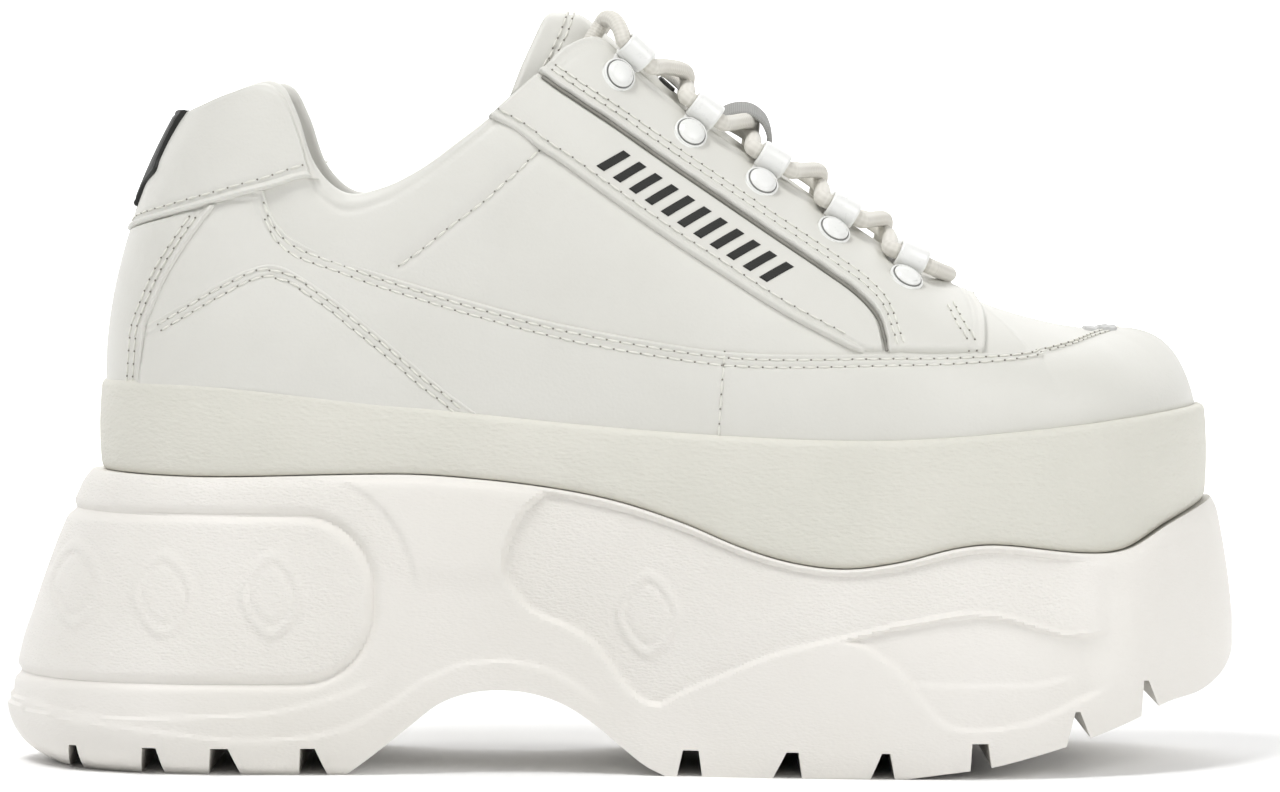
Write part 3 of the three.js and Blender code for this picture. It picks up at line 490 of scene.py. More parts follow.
def addBump(tree, height, depth, before=None):
    node = tree.nodes.new("ShaderNodeBump")
    node.inputs["Strength"].default_value = 1.0
    node.inputs["Distance"].default_value = depth * millimetre
    tree.link(height, node.inputs["Height"])
    if before is not None:
        tree.link(before, node.inputs["Normal"])
    return node.outputs["Normal"]


def softSkin(name, look):  # leather, moulded rubber and lining: tone, grain and a slow unevenness
    tree = Tree(name)
    setShader(tree, look)
    place = tree.nodes.new("ShaderNodeTexCoord").outputs["Object"]
    stretch = look.get("stretch", (1, 1, 1))
    slow = noise(tree, place, look["slow"], 2.0)
    spread = maths(tree, "MULTIPLY_ADD", slow, 1.6, -0.3)
    spread.node.use_clamp = True
    tree.link(tint(tree, spread, look["low"], look["high"]), tree.shader.inputs["Base Color"])
    fine = noise(tree, place, look["grain"], 4.0, 0.6, stretch)
    pores = cells(tree, place, look["grain"] * 0.9, stretch)
    height = maths(tree, "ADD", fine, maths(tree, "MULTIPLY", pores, 0.5))
    if "mask" in look:
        mask = tree.nodes.new("ShaderNodeAttribute")
        mask.attribute_name = look["mask"]
        height = maths(tree, "MULTIPLY", height, maths(tree, "MULTIPLY_ADD", mask.outputs["Fac"], 0.85, 0.5))
    normal = addBump(tree, height, look["depth"])
    if "crease" in look:
        wide = noise(tree, place, look["crease"], 3.0, 0.6, look["creaseStretch"])
        normal = addBump(tree, wide, look["creaseDepth"], normal)
    tree.link(normal, tree.shader.inputs["Normal"])
    uneven = look.get("roughSpread", 0.12)
    rough = maths(tree, "MULTIPLY_ADD", fine, uneven, look["roughness"] - uneven / 2)
    tree.link(rough, tree.shader.inputs["Roughness"])
    return tree.material


leatherLook = {"low": (211, 210, 203), "high": (219, 218, 212), "slow": 45, "roughness": 0.46,
               "specular": 0.42, "grain": 0.9, "depth": 0.05, "crease": 7, "creaseDepth": 0.10,
               "creaseStretch": (0.5, 0.6, 1.4), "sheen": 0.05}
# a lighter copy of the leather for the front, painted light; no piece uses it
paintedLightFrontLook = {**leatherLook, "low": (219, 218, 212), "high": (227, 226, 221), "creaseDepth": 0.05}
liningLook = {"low": (204, 203, 199), "high": (214, 213, 208), "slow": 30, "roughness": 0.85, "specular": 0.2,
              "grain": 0.5, "depth": 0.10, "sheen": 0.2}
bandLook = {"low": (211, 210, 200), "high": (219, 217, 208), "slow": 40, "roughness": 0.6, "specular": 0.32,
            "grain": 1.1, "depth": 0.2, "stretch": (0.6, 0.6, 1.3), "crease": 4.5, "creaseDepth": 0.22,
            "creaseStretch": (0.35, 0.35, 1.5)}
rubberLook = {"low": (225, 222, 215), "high": (233, 230, 225), "slow": 60, "roughness": 0.5, "specular": 0.36,
              "grain": 0.75, "depth": 0.16, "mask": "grain", "stretch": (0.6, 0.6, 1.3), "roughSpread": 0.05}
enamelLook = {"low": (233, 234, 230), "high": (238, 238, 236), "slow": 8, "roughness": 0.28, "specular": 0.5,
              "grain": 1.5, "depth": 0.012, "coat": 0.35, "roughSpread": 0.05}
# grey for the rivet's groove: painted shade
shadeLook = {**enamelLook, "low": (150, 150, 147), "high": (160, 160, 157), "coat": 0.0, "roughness": 0.6}
# dark grey for the cord in the gap between strap and eyestay: painted shadow
gapShadowLook = {"low": (122, 121, 115), "high": (152, 150, 144), "slow": 6, "roughness": 0.9, "specular": 0.1,
            "grain": 0.4, "depth": 0.05}
blackLook = {"low": (31, 31, 29), "high": (39, 40, 37), "slow": 12, "roughness": 0.55, "specular": 0.4,
             "grain": 0.45, "depth": 0.10}
badgeLook = {"low": (182, 182, 180), "high": (190, 190, 188), "slow": 5, "roughness": 0.45, "specular": 0.5,
             "grain": 0.6, "depth": 0.03}
threadLook = {"low": (222, 221, 212), "high": (232, 231, 224), "slow": 9, "roughness": 0.75, "specular": 0.3,
              "grain": 0.2, "depth": 0.03}
# dark dots at the needle holes: painted shade in the holes
holeShadeLook = {"low": (128, 126, 118), "high": (146, 143, 134), "slow": 9, "roughness": 0.9, "specular": 0.1,
            "grain": 0.3, "depth": 0.02}
studioLook = {"tone": (254, 254, 254), "roughness": 0.9, "specular": 0.0}


def plainSkin(name, look):  # one tone without grain, for the studio
    tree = Tree(name)
    setShader(tree, look)
    tree.shader.inputs["Base Color"].default_value = linear(look["tone"])
    return tree.material


def woven(name, look):  # braided or ribbed cloth that follows the piece's own run
    tree = Tree(name)
    setShader(tree, look)
    uv = tree.nodes.new("ShaderNodeUVMap")
    uv.uv_map = "run"
    split = tree.nodes.new("ShaderNodeSeparateXYZ")
    tree.link(uv.outputs["UV"], split.inputs[0])
    lengthwise = maths(tree, "MULTIPLY", split.outputs[0], 2 * math.pi / look["pitch"])
    around = maths(tree, "MULTIPLY", split.outputs[1], 2 * math.pi * look["strands"])
    up = maths(tree, "SINE", maths(tree, "ADD", lengthwise, around))
    down = maths(tree, "SINE", maths(tree, "SUBTRACT", lengthwise, around))
    braid = maths(tree, "MULTIPLY", up, down)
    place = tree.nodes.new("ShaderNodeTexCoord").outputs["Object"]
    fibre = noise(tree, place, 0.35, 2.0)
    height = maths(tree, "ADD", braid, maths(tree, "MULTIPLY", fibre, 0.5))
    # the colour follows the braid's height: the hollows between strands are painted darker, as shade
    tone = maths(tree, "MULTIPLY_ADD", braid, 0.5, 0.5)
    tree.link(tint(tree, tone, look["low"], look["high"]), tree.shader.inputs["Base Color"])
    tree.link(addBump(tree, height, look["depth"]), tree.shader.inputs["Normal"])
    return tree.material


laceLook = {"low": (214, 211, 202), "high": (226, 223, 215), "roughness": 0.85, "specular": 0.2,
            "sheen": 0.25, "pitch": 1.7, "strands": 4, "depth": 0.06}
tapeLook = {"low": (138, 138, 135), "high": (166, 166, 163), "roughness": 0.8, "specular": 0.25,
            "sheen": 0.15, "pitch": 0.9, "strands": 9, "depth": 0.06}

leather = softSkin("smoothLeather", leatherLook)
frontLeather = softSkin("frontLeather", paintedLightFrontLook)
lining = softSkin("softLining", liningLook)
bandSkin = softSkin("bandSkin", bandLook)
rubber = softSkin("mouldedRubber", rubberLook)
enamel = softSkin("whiteEnamel", enamelLook)
blackPrint = softSkin("blackPatch", blackLook)
enamelShade = softSkin("enamelGroove", shadeLook)
gapShadow = softSkin("rawLeatherEdge", gapShadowLook)
badgeGrey = softSkin("greyBadge", badgeLook)
thread = softSkin("sewingThread", threadLook)
needleHole = softSkin("needleHole", holeShadeLook)
laceCloth = woven("wovenLace", laceLook)
tapeCloth = woven("greyTape", tapeLook)
studioWhite = plainSkin("studioWhite", studioLook)
studioGlow = plainSkin("studioGlow", studioLook)
print("materials made")

# lace loops and the lace
loopSet = {"places": [(-2.2, 170.6), (15.6, 156.0), (33.1, 143.7), (50.8, 131.6), (68.6, 119.8)],
           "length": 7.5, "out": 4.3, "across": 6.8, "radius": 3.5, "bore": 2.45, "plate": 1.1,
           "washer": 4.7, "neck": 3.55, "rivet": 3.5, "dome": 1.7, "shift": 1.1, "foot": 1.2, "tilt": 13,
           "seat": 0.9}
laceSet = {"radius": 2.0, "crossRise": 7, "crossDrop": 3.6, "slack": 1.2, "sag": 0.6, "straight": 1.6,
           "barReach": 6.8, "barRise": 1.6, "sides": 16, "endSteps": 60, "crossSteps": 46}
endArch = [(0.8, 0.7, 2.8), (2.3, 3.1, 5.2), (4.3, 5.6, 5.8), (5.8, 7.1, 4.0)]  # back, in, up
endTuck = {"a": 0.478, "depth": 5.3, "reach": (0.98, 0.9, 0.82)}


def loopFrame(place, side):
    a, t = findOnUpper(*place, outer)
    a, t = float(a), float(t)
    centre = upperPoint(a, t, side)
    out = upperNormal(a, t, side)
    edge = upperPoint(a + 0.01, t, side) - upperPoint(a - 0.01, t, side)
    forward = unit(edge - out * (edge @ out))
    across = np.cross(out, forward) if side == outer else np.cross(forward, out)
    return {"place": centre, "out": out, "forward": forward, "across": across,
            "tube": centre + out * loopSet["out"] + across * loopSet["across"]}


loops = {side: [loopFrame(place, side) for place in loopSet["places"]] for side in (outer, inner)}


def mouth(loop, direction, distance):
    return loop["tube"] + loop["forward"] * direction * (loopSet["length"] / 2 + distance)


def strand(start, end, height):
    leaveMouth = mouth(start, 1, shape["gap"])
    enterMouth = mouth(end, -1, 2 * shape["gap"])
    middle = np.array([enterMouth[0] - laceSet["slack"], (start["tube"][1] + end["tube"][1]) / 2,
                       enterMouth[2] + height])
    leave = leaveMouth + (middle - leaveMouth) * 0.4
    leave[2] = leaveMouth[2] - laceSet["sag"]
    straight = laceSet["straight"]
    return [start["tube"], leaveMouth, mouth(start, 1, straight), leave, middle,
            mouth(end, -1, straight + 2 * shape["gap"]), enterMouth, end["tube"]]


def barPath():
    pair = [loops[outer][4], loops[inner][4]]
    starts = [mouth(loop, 1, shape["gap"]) for loop in pair]
    middle = (starts[0] + starts[1]) / 2
    middle[0] += laceSet["barReach"]
    middle[2] = ridge(middle[0]) + laceSet["radius"] + laceSet["barRise"]
    bends = [start + (middle - start) * 0.42 + loop["forward"] * 2.4 for start, loop in zip(starts, pair)]
    return [pair[0]["tube"], starts[0], mouth(pair[0], 1, 1.4), bends[0], middle, bends[1],
            mouth(pair[1], 1, 1.4), starts[1], pair[1]["tube"]]


def endPath(side):
    loop = loops[side][0]
    start = mouth(loop, -1, 0.4)
    arch = [start + np.array([-back, -side * inwards, up]) for back, inwards, up in endArch]
    tuck = [overUpper(endTuck["a"], t, side, -endTuck["depth"]) for t in endTuck["reach"]]
    return [mouth(loop, 1, -0.2), mouth(loop, -1, 0), start, *arch, *tuck]


def lacePiece(name, paths, steps):
    points, faces, uv = np.zeros((0, 3)), np.zeros((0, 4), int), np.zeros((0, 2))
    for path in paths:
        p, f, w = tube(smoothPath(path, steps), laceSet["radius"], laceSet["sides"])
        faces = np.concatenate([faces, f + len(points)])
        points, uv = np.concatenate([points, p]), np.concatenate([uv, w])
    piece = newPiece(name, points, faces, [laceCloth], uv)
    weld(piece)
    return piece


def makeLace():
    for name, side in bothSides.items():
        path = smoothPath(endPath(side), laceSet["endSteps"])
        piece = lacePiece(f"lace_end_{name}_cord", [path], laceSet["endSteps"])
        finishPiece(piece, "lace_cord", f"lace_end_{name}")
    for i in range(4):
        paths = [strand(loops[outer][i], loops[inner][i + 1], laceSet["crossRise"]),
                 strand(loops[inner][i], loops[outer][i + 1], laceSet["crossDrop"])]
        piece = lacePiece(f"lace_crossing_{i + 1}", paths, laceSet["crossSteps"])
        finishPiece(piece, "lace_cord", f"lace_cross_{i + 1}{i + 2}")
    piece = lacePiece("lace_front_bar", [barPath()], laceSet["endSteps"])
    finishPiece(piece, "lace_cord", "lace_bar")


makeLace()
print("lace made")

# sewing: a row of threads and needle holes along each path, the holes drawn as dark dots of painted shade
sewing = {"pitch": 3.3, "threadLength": 2.7, "threadRadius": 0.31, "holeRadius": 0.25, "above": 0.1}


def stitchTree():
    tree = bpy.data.node_groups.new("stitchRow", "GeometryNodeTree")
    tree.interface.new_socket("Geometry", in_out="INPUT", socket_type="NodeSocketGeometry")
    for name in ("Pitch", "Thread Length", "Thread Radius", "Hole Radius"):
        tree.interface.new_socket(name, in_out="INPUT", socket_type="NodeSocketFloat")
    tree.interface.new_socket("Geometry", in_out="OUTPUT", socket_type="NodeSocketGeometry")
    add = tree.nodes.new
    join = tree.links.new
    given = add("NodeGroupInput").outputs
    curve = add("GeometryNodeMeshToCurve")
    join(given["Geometry"], curve.inputs[0])
    even = add("GeometryNodeResampleCurve")
    even.mode = "LENGTH"
    join(curve.outputs[0], even.inputs["Curve"])
    join(given["Pitch"], even.inputs["Length"])
    spots = add("GeometryNodeCurveToPoints")
    spots.mode = "EVALUATED"
    join(even.outputs[0], spots.inputs["Curve"])
    turn = add("FunctionNodeAlignRotationToVector")
    turn.axis = "Z"
    join(spots.outputs["Tangent"], turn.inputs["Vector"])

    def size(x, y, z):
        node = add("ShaderNodeCombineXYZ")
        for socket, value in zip(node.inputs, (x, y, z)):
            join(value, socket)
        return node.outputs[0]

    def half(value):
        node = add("ShaderNodeMath")
        node.operation = "MULTIPLY"
        node.inputs[1].default_value = 0.5
        join(value, node.inputs[0])
        return node.outputs[0]

    def unitBall(segments, rings):
        ball = add("GeometryNodeMeshUVSphere")
        ball.inputs["Segments"].default_value = segments
        ball.inputs["Rings"].default_value = rings
        ball.inputs["Radius"].default_value = 1.0
        return ball.outputs["Mesh"]

    together = add("GeometryNodeJoinGeometry")
    threadSize = size(given["Thread Radius"], given["Thread Radius"], half(given["Thread Length"]))
    ahead = add("ShaderNodeCombineXYZ")
    join(half(given["Pitch"]), ahead.inputs[2])
    holeSize = size(given["Hole Radius"], given["Hole Radius"], given["Hole Radius"])
    for ball, scale, shift, material in (
        (unitBall(7, 5), threadSize, ahead.outputs[0], thread),
        (unitBall(6, 4), holeSize, None, needleHole),
    ):
        fit = add("GeometryNodeTransform")
        join(ball, fit.inputs["Geometry"])
        join(scale, fit.inputs["Scale"])
        if shift is not None:
            join(shift, fit.inputs["Translation"])
        copies = add("GeometryNodeInstanceOnPoints")
        join(spots.outputs["Points"], copies.inputs["Points"])
        join(fit.outputs[0], copies.inputs["Instance"])
        join(turn.outputs[0], copies.inputs["Rotation"])
        real = add("GeometryNodeRealizeInstances")
        join(copies.outputs[0], real.inputs[0])
        paint = add("GeometryNodeSetMaterial")
        paint.inputs["Material"].default_value = material
        join(real.outputs[0], paint.inputs["Geometry"])
        join(paint.outputs[0], together.inputs[0])
    join(together.outputs[0], add("NodeGroupOutput").inputs[0])
    return tree


rowOfStitches = stitchTree()


def surfaceTree(piece):
    mesh = piece.data
    return BVHTree.FromPolygons([v.co[:] for v in mesh.vertices], [p.vertices[:] for p in mesh.polygons])


def laidOn(path, target):  # the path moved onto the outer face it runs over
    tree = surfaceTree(target)
    laid = []
    for point in np.asarray(path, float) * millimetre:
        place, normal, _, _ = tree.find_nearest(Vector(point))
        laid.append(np.array(place + normal * sewing["above"] * millimetre) / millimetre)
    return np.array(laid)


def sew(name, paths, slot, target, pitch=None):
    paths = [laidOn(path, target) for path in paths]
    points, edges = [], []
    for path in paths:
        start = len(points)
        points.extend((np.asarray(path) * millimetre).tolist())
        edges.extend((start + k, start + k + 1) for k in range(len(path) - 1))
    piece = addObject(name, points, edges, [])
    modifier = piece.modifiers.new("stitches", "NODES")
    modifier.node_group = rowOfStitches
    sizes = {"Pitch": pitch or sewing["pitch"], "Thread Length": sewing["threadLength"],
             "Thread Radius": sewing["threadRadius"], "Hole Radius": sewing["holeRadius"]}
    for item in rowOfStitches.interface.items_tree:
        if item.in_out == "INPUT" and item.name in sizes:
            modifier[item.identifier] = sizes[item.name] * millimetre
    applyModifiers(piece)
    piece.data.shade_smooth()
    finishPiece(piece, slot)


# upper: one shell with its lining, open at the collar and the throat
shellSet = {"columns": 300, "rows": 64, "insideRows": 14, "rimSteps": 9, "below": -0.03,
            "seamPull": 0.55, "seamWidth": 1.3, "rimCrease": 0.5, "rimSwell": 0.9}
rimWidth = line((0.0, 1.2), (0.15, 1.2), (0.2, 1.4), (0.225, 2.6), (0.25, 4.4), (0.275, 4.6), (0.3, 3.4),
                (0.34, 2.2), (0.4, 1.8), (0.44, 1.6), (0.5, 1.4), (0.76, 1.2))
sideHoles = [(-55.1, 124.1), (-49.9, 127.8), (-40.1, 135.6), (-34.8, 139.5), (-20.8, 152.1)]


def wallLength(a, side):
    return np.linalg.norm(upperPoint(a, 1.0, side) - upperPoint(a, 0.97, side), axis=-1) / 0.03


def rimDepth(a):  # half the wall's thickness, flattened out where the throat closes
    return wallThick(a, 1.0) / 2 * smoothStep((shape["throatFront"] - a) / 0.02)


def topT(a, side):
    return 1 - rimDepth(a) / wallLength(a, side)


def sideLine(points, side, count=60, distance=0.0):
    p = np.array(points, float)
    run = runLength(p)
    at = np.linspace(0, run[-1], count)
    x, z = hermite(run, p[:, 0], at), hermite(run, p[:, 1], at)
    return overUpper(*findOnUpper(x, z, side), side, distance)


def makeUpper():
    count = shellSet["columns"]
    share = np.linspace(0, 1, count + 1)
    a = np.concatenate([share, share[-2:0:-1]])
    side = np.concatenate([np.full(count + 1, outer), np.full(count - 1, inner)])
    high = topT(a, side)
    low = shellSet["below"]
    v = np.linspace(0, 1, shellSet["rows"])[:, None]
    t = low + (high - low) * v
    aGrid, tGrid, sideGrid = np.broadcast_arrays(a[None, :], t, side[None, :])
    normal = upperNormal(aGrid, tGrid, sideGrid)
    base = upperPoint(aGrid, tGrid, sideGrid)
    holes = [sideLine(sideHoles, s) for s in (outer, inner)]
    # the leather is pulled in along the stitched line
    relief = -shellSet["seamPull"] * bump(distanceTo(base, holes), shellSet["seamWidth"])
    collar = (1 - smoothStep((aGrid - 0.40) / 0.06)) * smoothStep((aGrid - 0.2) / 0.06)
    below = (1 - tGrid) * wallLength(aGrid, sideGrid)
    relief = relief - shellSet["rimCrease"] * bump(below - rimWidth(aGrid) - 1.2, 0.8) * collar
    relief = relief + shellSet["rimSwell"] * bump(below - 14, 9) * collar
    outside = base + normal * relief[..., None]
    thick = wallThick(a, 1.0)
    rimOut = unit(upperNormal(a, high, side))
    rimUp = unit(upperPoint(a, 1.0, side) - upperPoint(a, 0.99, side))
    centre = upperPoint(a, high, side) - rimOut * (thick / 2)[:, None]
    turn = np.linspace(0, np.pi, shellSet["rimSteps"] + 2)[1:-1][:, None, None]
    depth = rimDepth(a)[None, :, None]
    rim = centre + np.cos(turn) * rimOut * (thick / 2)[None, :, None] + np.sin(turn) * rimUp * depth
    w = np.linspace(1, 0.0, shellSet["insideRows"])[:, None]
    tIn = low + (high - low) * w
    aIn, tIn, sideIn = np.broadcast_arrays(a[None, :], tIn, side[None, :])
    inside = overUpper(aIn, tIn, sideIn, -wallThick(aIn, np.maximum(tIn, 0)))
    inside[0] = centre - rimOut * (thick / 2)[:, None]
    grid = np.concatenate([outside, rim, inside])
    rows, columns = grid.shape[:2]
    faces = gridFaces(rows, columns, wrap=True).reshape(rows - 1, columns, 4)
    closed = np.minimum(a, np.roll(a, -1)) >= shape["throatFront"] - 1e-6
    keep = np.ones((rows - 1, columns), bool)
    first, last = shellSet["rows"] - 1, shellSet["rows"] + shellSet["rimSteps"]
    keep[first:last, closed] = False
    slots = np.zeros((rows - 1, columns), int)
    slots[last + 3:, :] = 1
    here = np.arange(columns)
    after = (here + 1) % columns
    bottom = (rows - 1) * columns
    foot = np.stack([here, bottom + here, bottom + after, after], -1)
    faces = np.concatenate([faces[keep], foot])
    slots = np.concatenate([slots[keep], np.zeros(columns, int)])
    piece = newPiece("upper_shell", grid, faces, [leather, lining], slots=slots)
    weld(piece, 0.02)
    finishPiece(piece, "upper_leather", "upper")


makeUpper()
print("upper made")

# sewn panels over the shell
foxingLine = line((-88.4, 143.0), (-86.7, 137.5), (-83.0, 132.3), (-77.6, 129.0), (-71.0, 126.5),
                  (-60.5, 122.7), (-48.0, 118.8), (-34.8, 115.0), (-20.6, 111.3), (-9.2, 108.9),
                  (10.3, 105.4), (23.4, 103.6), (36.5, 102.9), (62.4, 102.8), (79.4, 102.5),
                  (96.3, 102.9), (107.7, 104.6), (116.2, 106.6), (121.0, 107.6), (124.5, 108.6))
heelSeam = [(-99.8, 138.5), (-106.0, 130.1), (-111.6, 121.3), (-115.8, 111.9), (-117.1, 108.4),
            (-118.2, 96.8), (-118.4, 92.0)]
quarterArc = [(-117.0, 109.8), (-106.6, 116.0), (-97.3, 121.3), (-90.6, 124.1), (-85.5, 124.8),
              (-79.5, 122.2), (-71.0, 116.6), (-62.0, 109.6), (-51.9, 101.2), (-44.8, 95.3),
              (-36.3, 89.0)]
panelSet = {"lift": 1.0, "round": 0.6, "rows": (1.35, 3.0), "dip": 0.28, "dipWidth": 0.55, "under": 0.5}


def panelHeight(distance, look):  # rounded edge, stitch troughs, then a soft pad
    edge = np.clip(distance / look["round"], 0, 1)
    height = look["lift"] * np.sqrt(np.maximum(1 - (1 - edge) ** 2, 0))
    for row in look["rows"]:
        height = height - look["dip"] * bump(distance - row, look["dipWidth"])
    last = max(look["rows"]) if look["rows"] else 0.5
    height = height + look.get("puff", 0) * (1 - bump(np.maximum(distance - last, 0), look.get("reach", 4)))
    if look.get("roll"):  # a folded or piped edge
        height = height + look["roll"] * bump(distance - look["rollAt"], look["rollWidth"])
    return height - 0.15


def tuckUnder(base):  # dips below the lower panel's top edge
    return -2.0 * fade(foxingLine(base[..., 0]) - base[..., 2], -1.6, 0.2)


def makePanel(name, a, t, side, edges, look, extra=None):
    base = upperPoint(a, t, side)
    normal = upperNormal(a, t, side)
    distance = distanceTo(base, edges)
    height = panelHeight(distance, look)
    if extra is not None:
        height = height + extra(base)
    top = base + normal * height[..., None]
    under = base - normal * look["under"]
    points, faces = closedSheet(top, under)
    return newPiece(name, points, faces, [leather])


def edgeRows(length, near, far):  # steps across a panel, close together at its edge
    steps = [0, 0.12, 0.27, 0.45, 0.65, 0.9, 1.15, 1.4, 1.65, 1.95, 2.3, 2.65, 3.0, 3.35, 3.75, 4.3, 5.0, 6.0]
    return np.concatenate([[s for s in steps if s < near], np.linspace(near, length, far)])


# lower panel that runs from the heel seam round the toe
foxingLook = {**panelSet, "puff": 0.25, "reach": 3.5, "width": 40.0, "near": 4.5, "far": 12,
              "first": 0.12, "columns": 360, "foot": -0.04, "seam": 0.4, "seamWidth": 0.35,
              "uprightPitch": 3.6}
vampSeam = [(24.6, 104.6), (23.9, 97.0), (23.4, 90.0), (22.9, 82.5)]
foxingStart = -88.2


def ringPlaces(first, count):  # places round the front, from one side's a round the toe
    reach = np.linspace(first, 1, count)
    a = np.concatenate([reach, reach[-2::-1]])
    side = np.concatenate([np.full(count, outer), np.full(count - 1, inner)])
    return a, side


def offsetRows(high, low, a, side, look):  # real steps near the edge, then even shares of the rest
    length = np.maximum((high - low) * wallLength(a, side), 0.5)
    near, width = look["near"], look["width"]
    start = np.minimum(near / length, 0.9)
    rows = []
    for step in edgeRows(width, near, look["far"]):
        share = start + (1 - start) * (step - near) / (width - near)
        if step < near:
            share = np.minimum(step / length, 0.9)
        rows.append(high - share * (high - low))
    return np.array(rows)


def makeFoxing():
    a, side = ringPlaces(foxingLook["first"], foxingLook["columns"])
    high = np.minimum(underLine(a, side, foxingLine), 1)
    t = offsetRows(high, np.full(a.shape, foxingLook["foot"]), a, side, foxingLook)
    aGrid, sideGrid = np.broadcast_to(a, t.shape), np.broadcast_to(side, t.shape)
    free = high < 0.995
    edge = upperPoint(a, high, side)[free]
    toInner = np.argmax(np.diff(side[free]) > 0) + 1
    edges = [edge[:toInner], edge[toInner:]]
    seams = [sideLine(vampSeam, s) for s in (outer, inner)]

    def seam(base):
        return -foxingLook["seam"] * bump(distanceTo(base, seams), foxingLook["seamWidth"])

    piece = makePanel("foxing_panel", aGrid, t, sideGrid, edges, foxingLook, seam)
    weld(piece, 0.02)
    finishPiece(piece, "upper_leather")
    rows = []
    for inset in foxingLook["rows"]:
        shift = high - inset / wallLength(a, side)
        path = overUpper(a, shift, side, foxingLook["lift"] - 0.25)
        rows += [path[(side == s) & free & (path[:, 0] > foxingStart)] for s in (outer, inner)]
    sew("foxing_stitches", rows, "upper_leather", piece)
    upright = [sideLine(vampSeam, s, 30, foxingLook["lift"] - 0.2) for s in (outer, inner)]
    sew("vamp_seam_stitches", upright, "upper_leather", piece, foxingLook["uprightPitch"])


def mixPaths(first, second, shares):
    return first[None, :] * (1 - shares[:, None]) + second[None, :] * shares[:, None]


def evenly(points, count):
    p = np.array(points, float)
    run = runLength(p)
    dense = np.linspace(0, run[-1], count)
    return np.stack([hermite(run, p[:, 0], dense), hermite(run, p[:, 1], dense)], 1)


def insetLine(points, distance, count=80):  # the same line moved to its right in the side view
    p = evenly(points, count)
    run = unit(np.gradient(p, axis=0))
    return np.stack([p[:, 0] + run[:, 1] * distance, p[:, 1] - run[:, 0] * distance], 1)


# puffed lower quarter behind the arch-shaped stitching
quarterLook = {**panelSet, "lift": 1.5, "rows": (1.5, 3.2), "puff": 0.9, "reach": 7, "round": 0.9,
               "under": 0.3, "width": 30.0, "near": 4.5, "from": -118.6, "to": -35.6, "pitch": 3.2}


def makeLowerQuarter():
    near, width = quarterLook["near"], quarterLook["width"]
    high = evenly(quarterArc, 130)
    x = np.linspace(quarterLook["from"], quarterLook["to"], len(high))
    low = np.stack([x, lipHeight(x) - 2.0], 1)
    span = np.maximum(high[:, 1] - low[:, 1], 0.3)
    start = np.minimum(near / span, 0.27)
    rows = []
    for step in edgeRows(width, near, 14):
        part = start + (1 - start) * (step - near) / (width - near)
        if step < near:
            part = np.minimum(step / span, 0.15 + 0.8 * step / width)
        rows.append(high * (1 - part[:, None]) + low * part[:, None])
    grid = np.array(rows)
    for name, side in bothSides.items():
        a, t = findOnUpper(grid[..., 0], grid[..., 1], side)
        edge = upperPoint(a[0], t[0], side)
        piece = makePanel(f"lower_quarter_{name}", a, t, side, [edge], quarterLook)
        finishPiece(piece, "upper_leather")
        paths = [sideLine(insetLine(quarterArc, inset)[2:-4:6], side, 90, quarterLook["lift"] + 0.15)
                 for inset in quarterLook["rows"]]
        sew(f"lower_quarter_stitches_{name}", paths, "upper_leather", piece, quarterLook["pitch"])


# counter over the back of the heel, with a rolled edge
counterLook = {**panelSet, "lift": 1.6, "rows": (2.2, 3.5), "roll": 0.55, "rollAt": 0.75, "rollWidth": 0.55,
               "dip": 0.3, "puff": 0.2, "under": 0.4, "width": 24.0, "foot": 92.5, "top": 138.6,
               "sewnFrom": 96.5, "sewnTo": 136, "pitch": 3.0}


def seamPlaces(z, side):  # a of the heel seam at each height
    x, height = np.array(heelSeam)[::-1].T
    return findOnUpper(hermite(height, x, z), z, side)[0]


def makeCounter():
    z = np.linspace(counterLook["foot"], counterLook["top"], 60)
    ends = {side: seamPlaces(z, side) for side in (outer, inner)}
    inward = 1 - edgeRows(counterLook["width"], 4.5, 16) / counterLook["width"]
    q = np.concatenate([-inward, inward[::-1][1:]])
    side = np.where(q <= 0, outer, inner)
    a = np.abs(q) * np.where(q <= 0, ends[outer][:, None], ends[inner][:, None])
    sideGrid = np.broadcast_to(side[None, :], a.shape)
    share = (z - z[0]) / (z[-1] - z[0])
    height = z[0] + (collarLine["z"](a[-1]) - 0.4 - z[0]) * share[:, None]
    t = heightPlaces(a, height, sideGrid)
    edges = [upperPoint(a[:, k], t[:, k], side[k]) for k in (0, -1)]
    piece = makePanel("heel_counter", a, t, sideGrid, edges, counterLook)
    finishPiece(piece, "upper_leather")
    paths = []
    for s in (outer, inner):
        for inset in counterLook["rows"]:
            edge = insetLine(heelSeam, inset)
            keep = (edge[:, 1] > counterLook["sewnFrom"]) & (edge[:, 1] < counterLook["sewnTo"])
            paths.append(overUpper(*findOnUpper(*edge[keep].T, s), s, counterLook["lift"] - 0.2))
    sew("heel_counter_stitches", paths, "upper_leather", piece, counterLook["pitch"])


# padded collar panel round the heel, piped along its lower edge
collarLine = table("a z", [(0.0, 131.7), (0.1, 135.2), (0.17, 139.0), (0.23, 143.2), (0.262, 145.4),
                           (0.285, 145.0)])
collarLook = {**panelSet, "lift": 1.9, "rows": (), "puff": 0.5, "reach": 9, "under": 0.6, "round": 0.5,
              "end": 0.279, "width": 30.0, "stitchEnd": 0.93, "pitch": 3.8,
              "pipe": (0.75, 0.75, 0.55), "crease": (0.34, 1.8, 0.4), "trough": (0.2, 3.0, 0.5)}


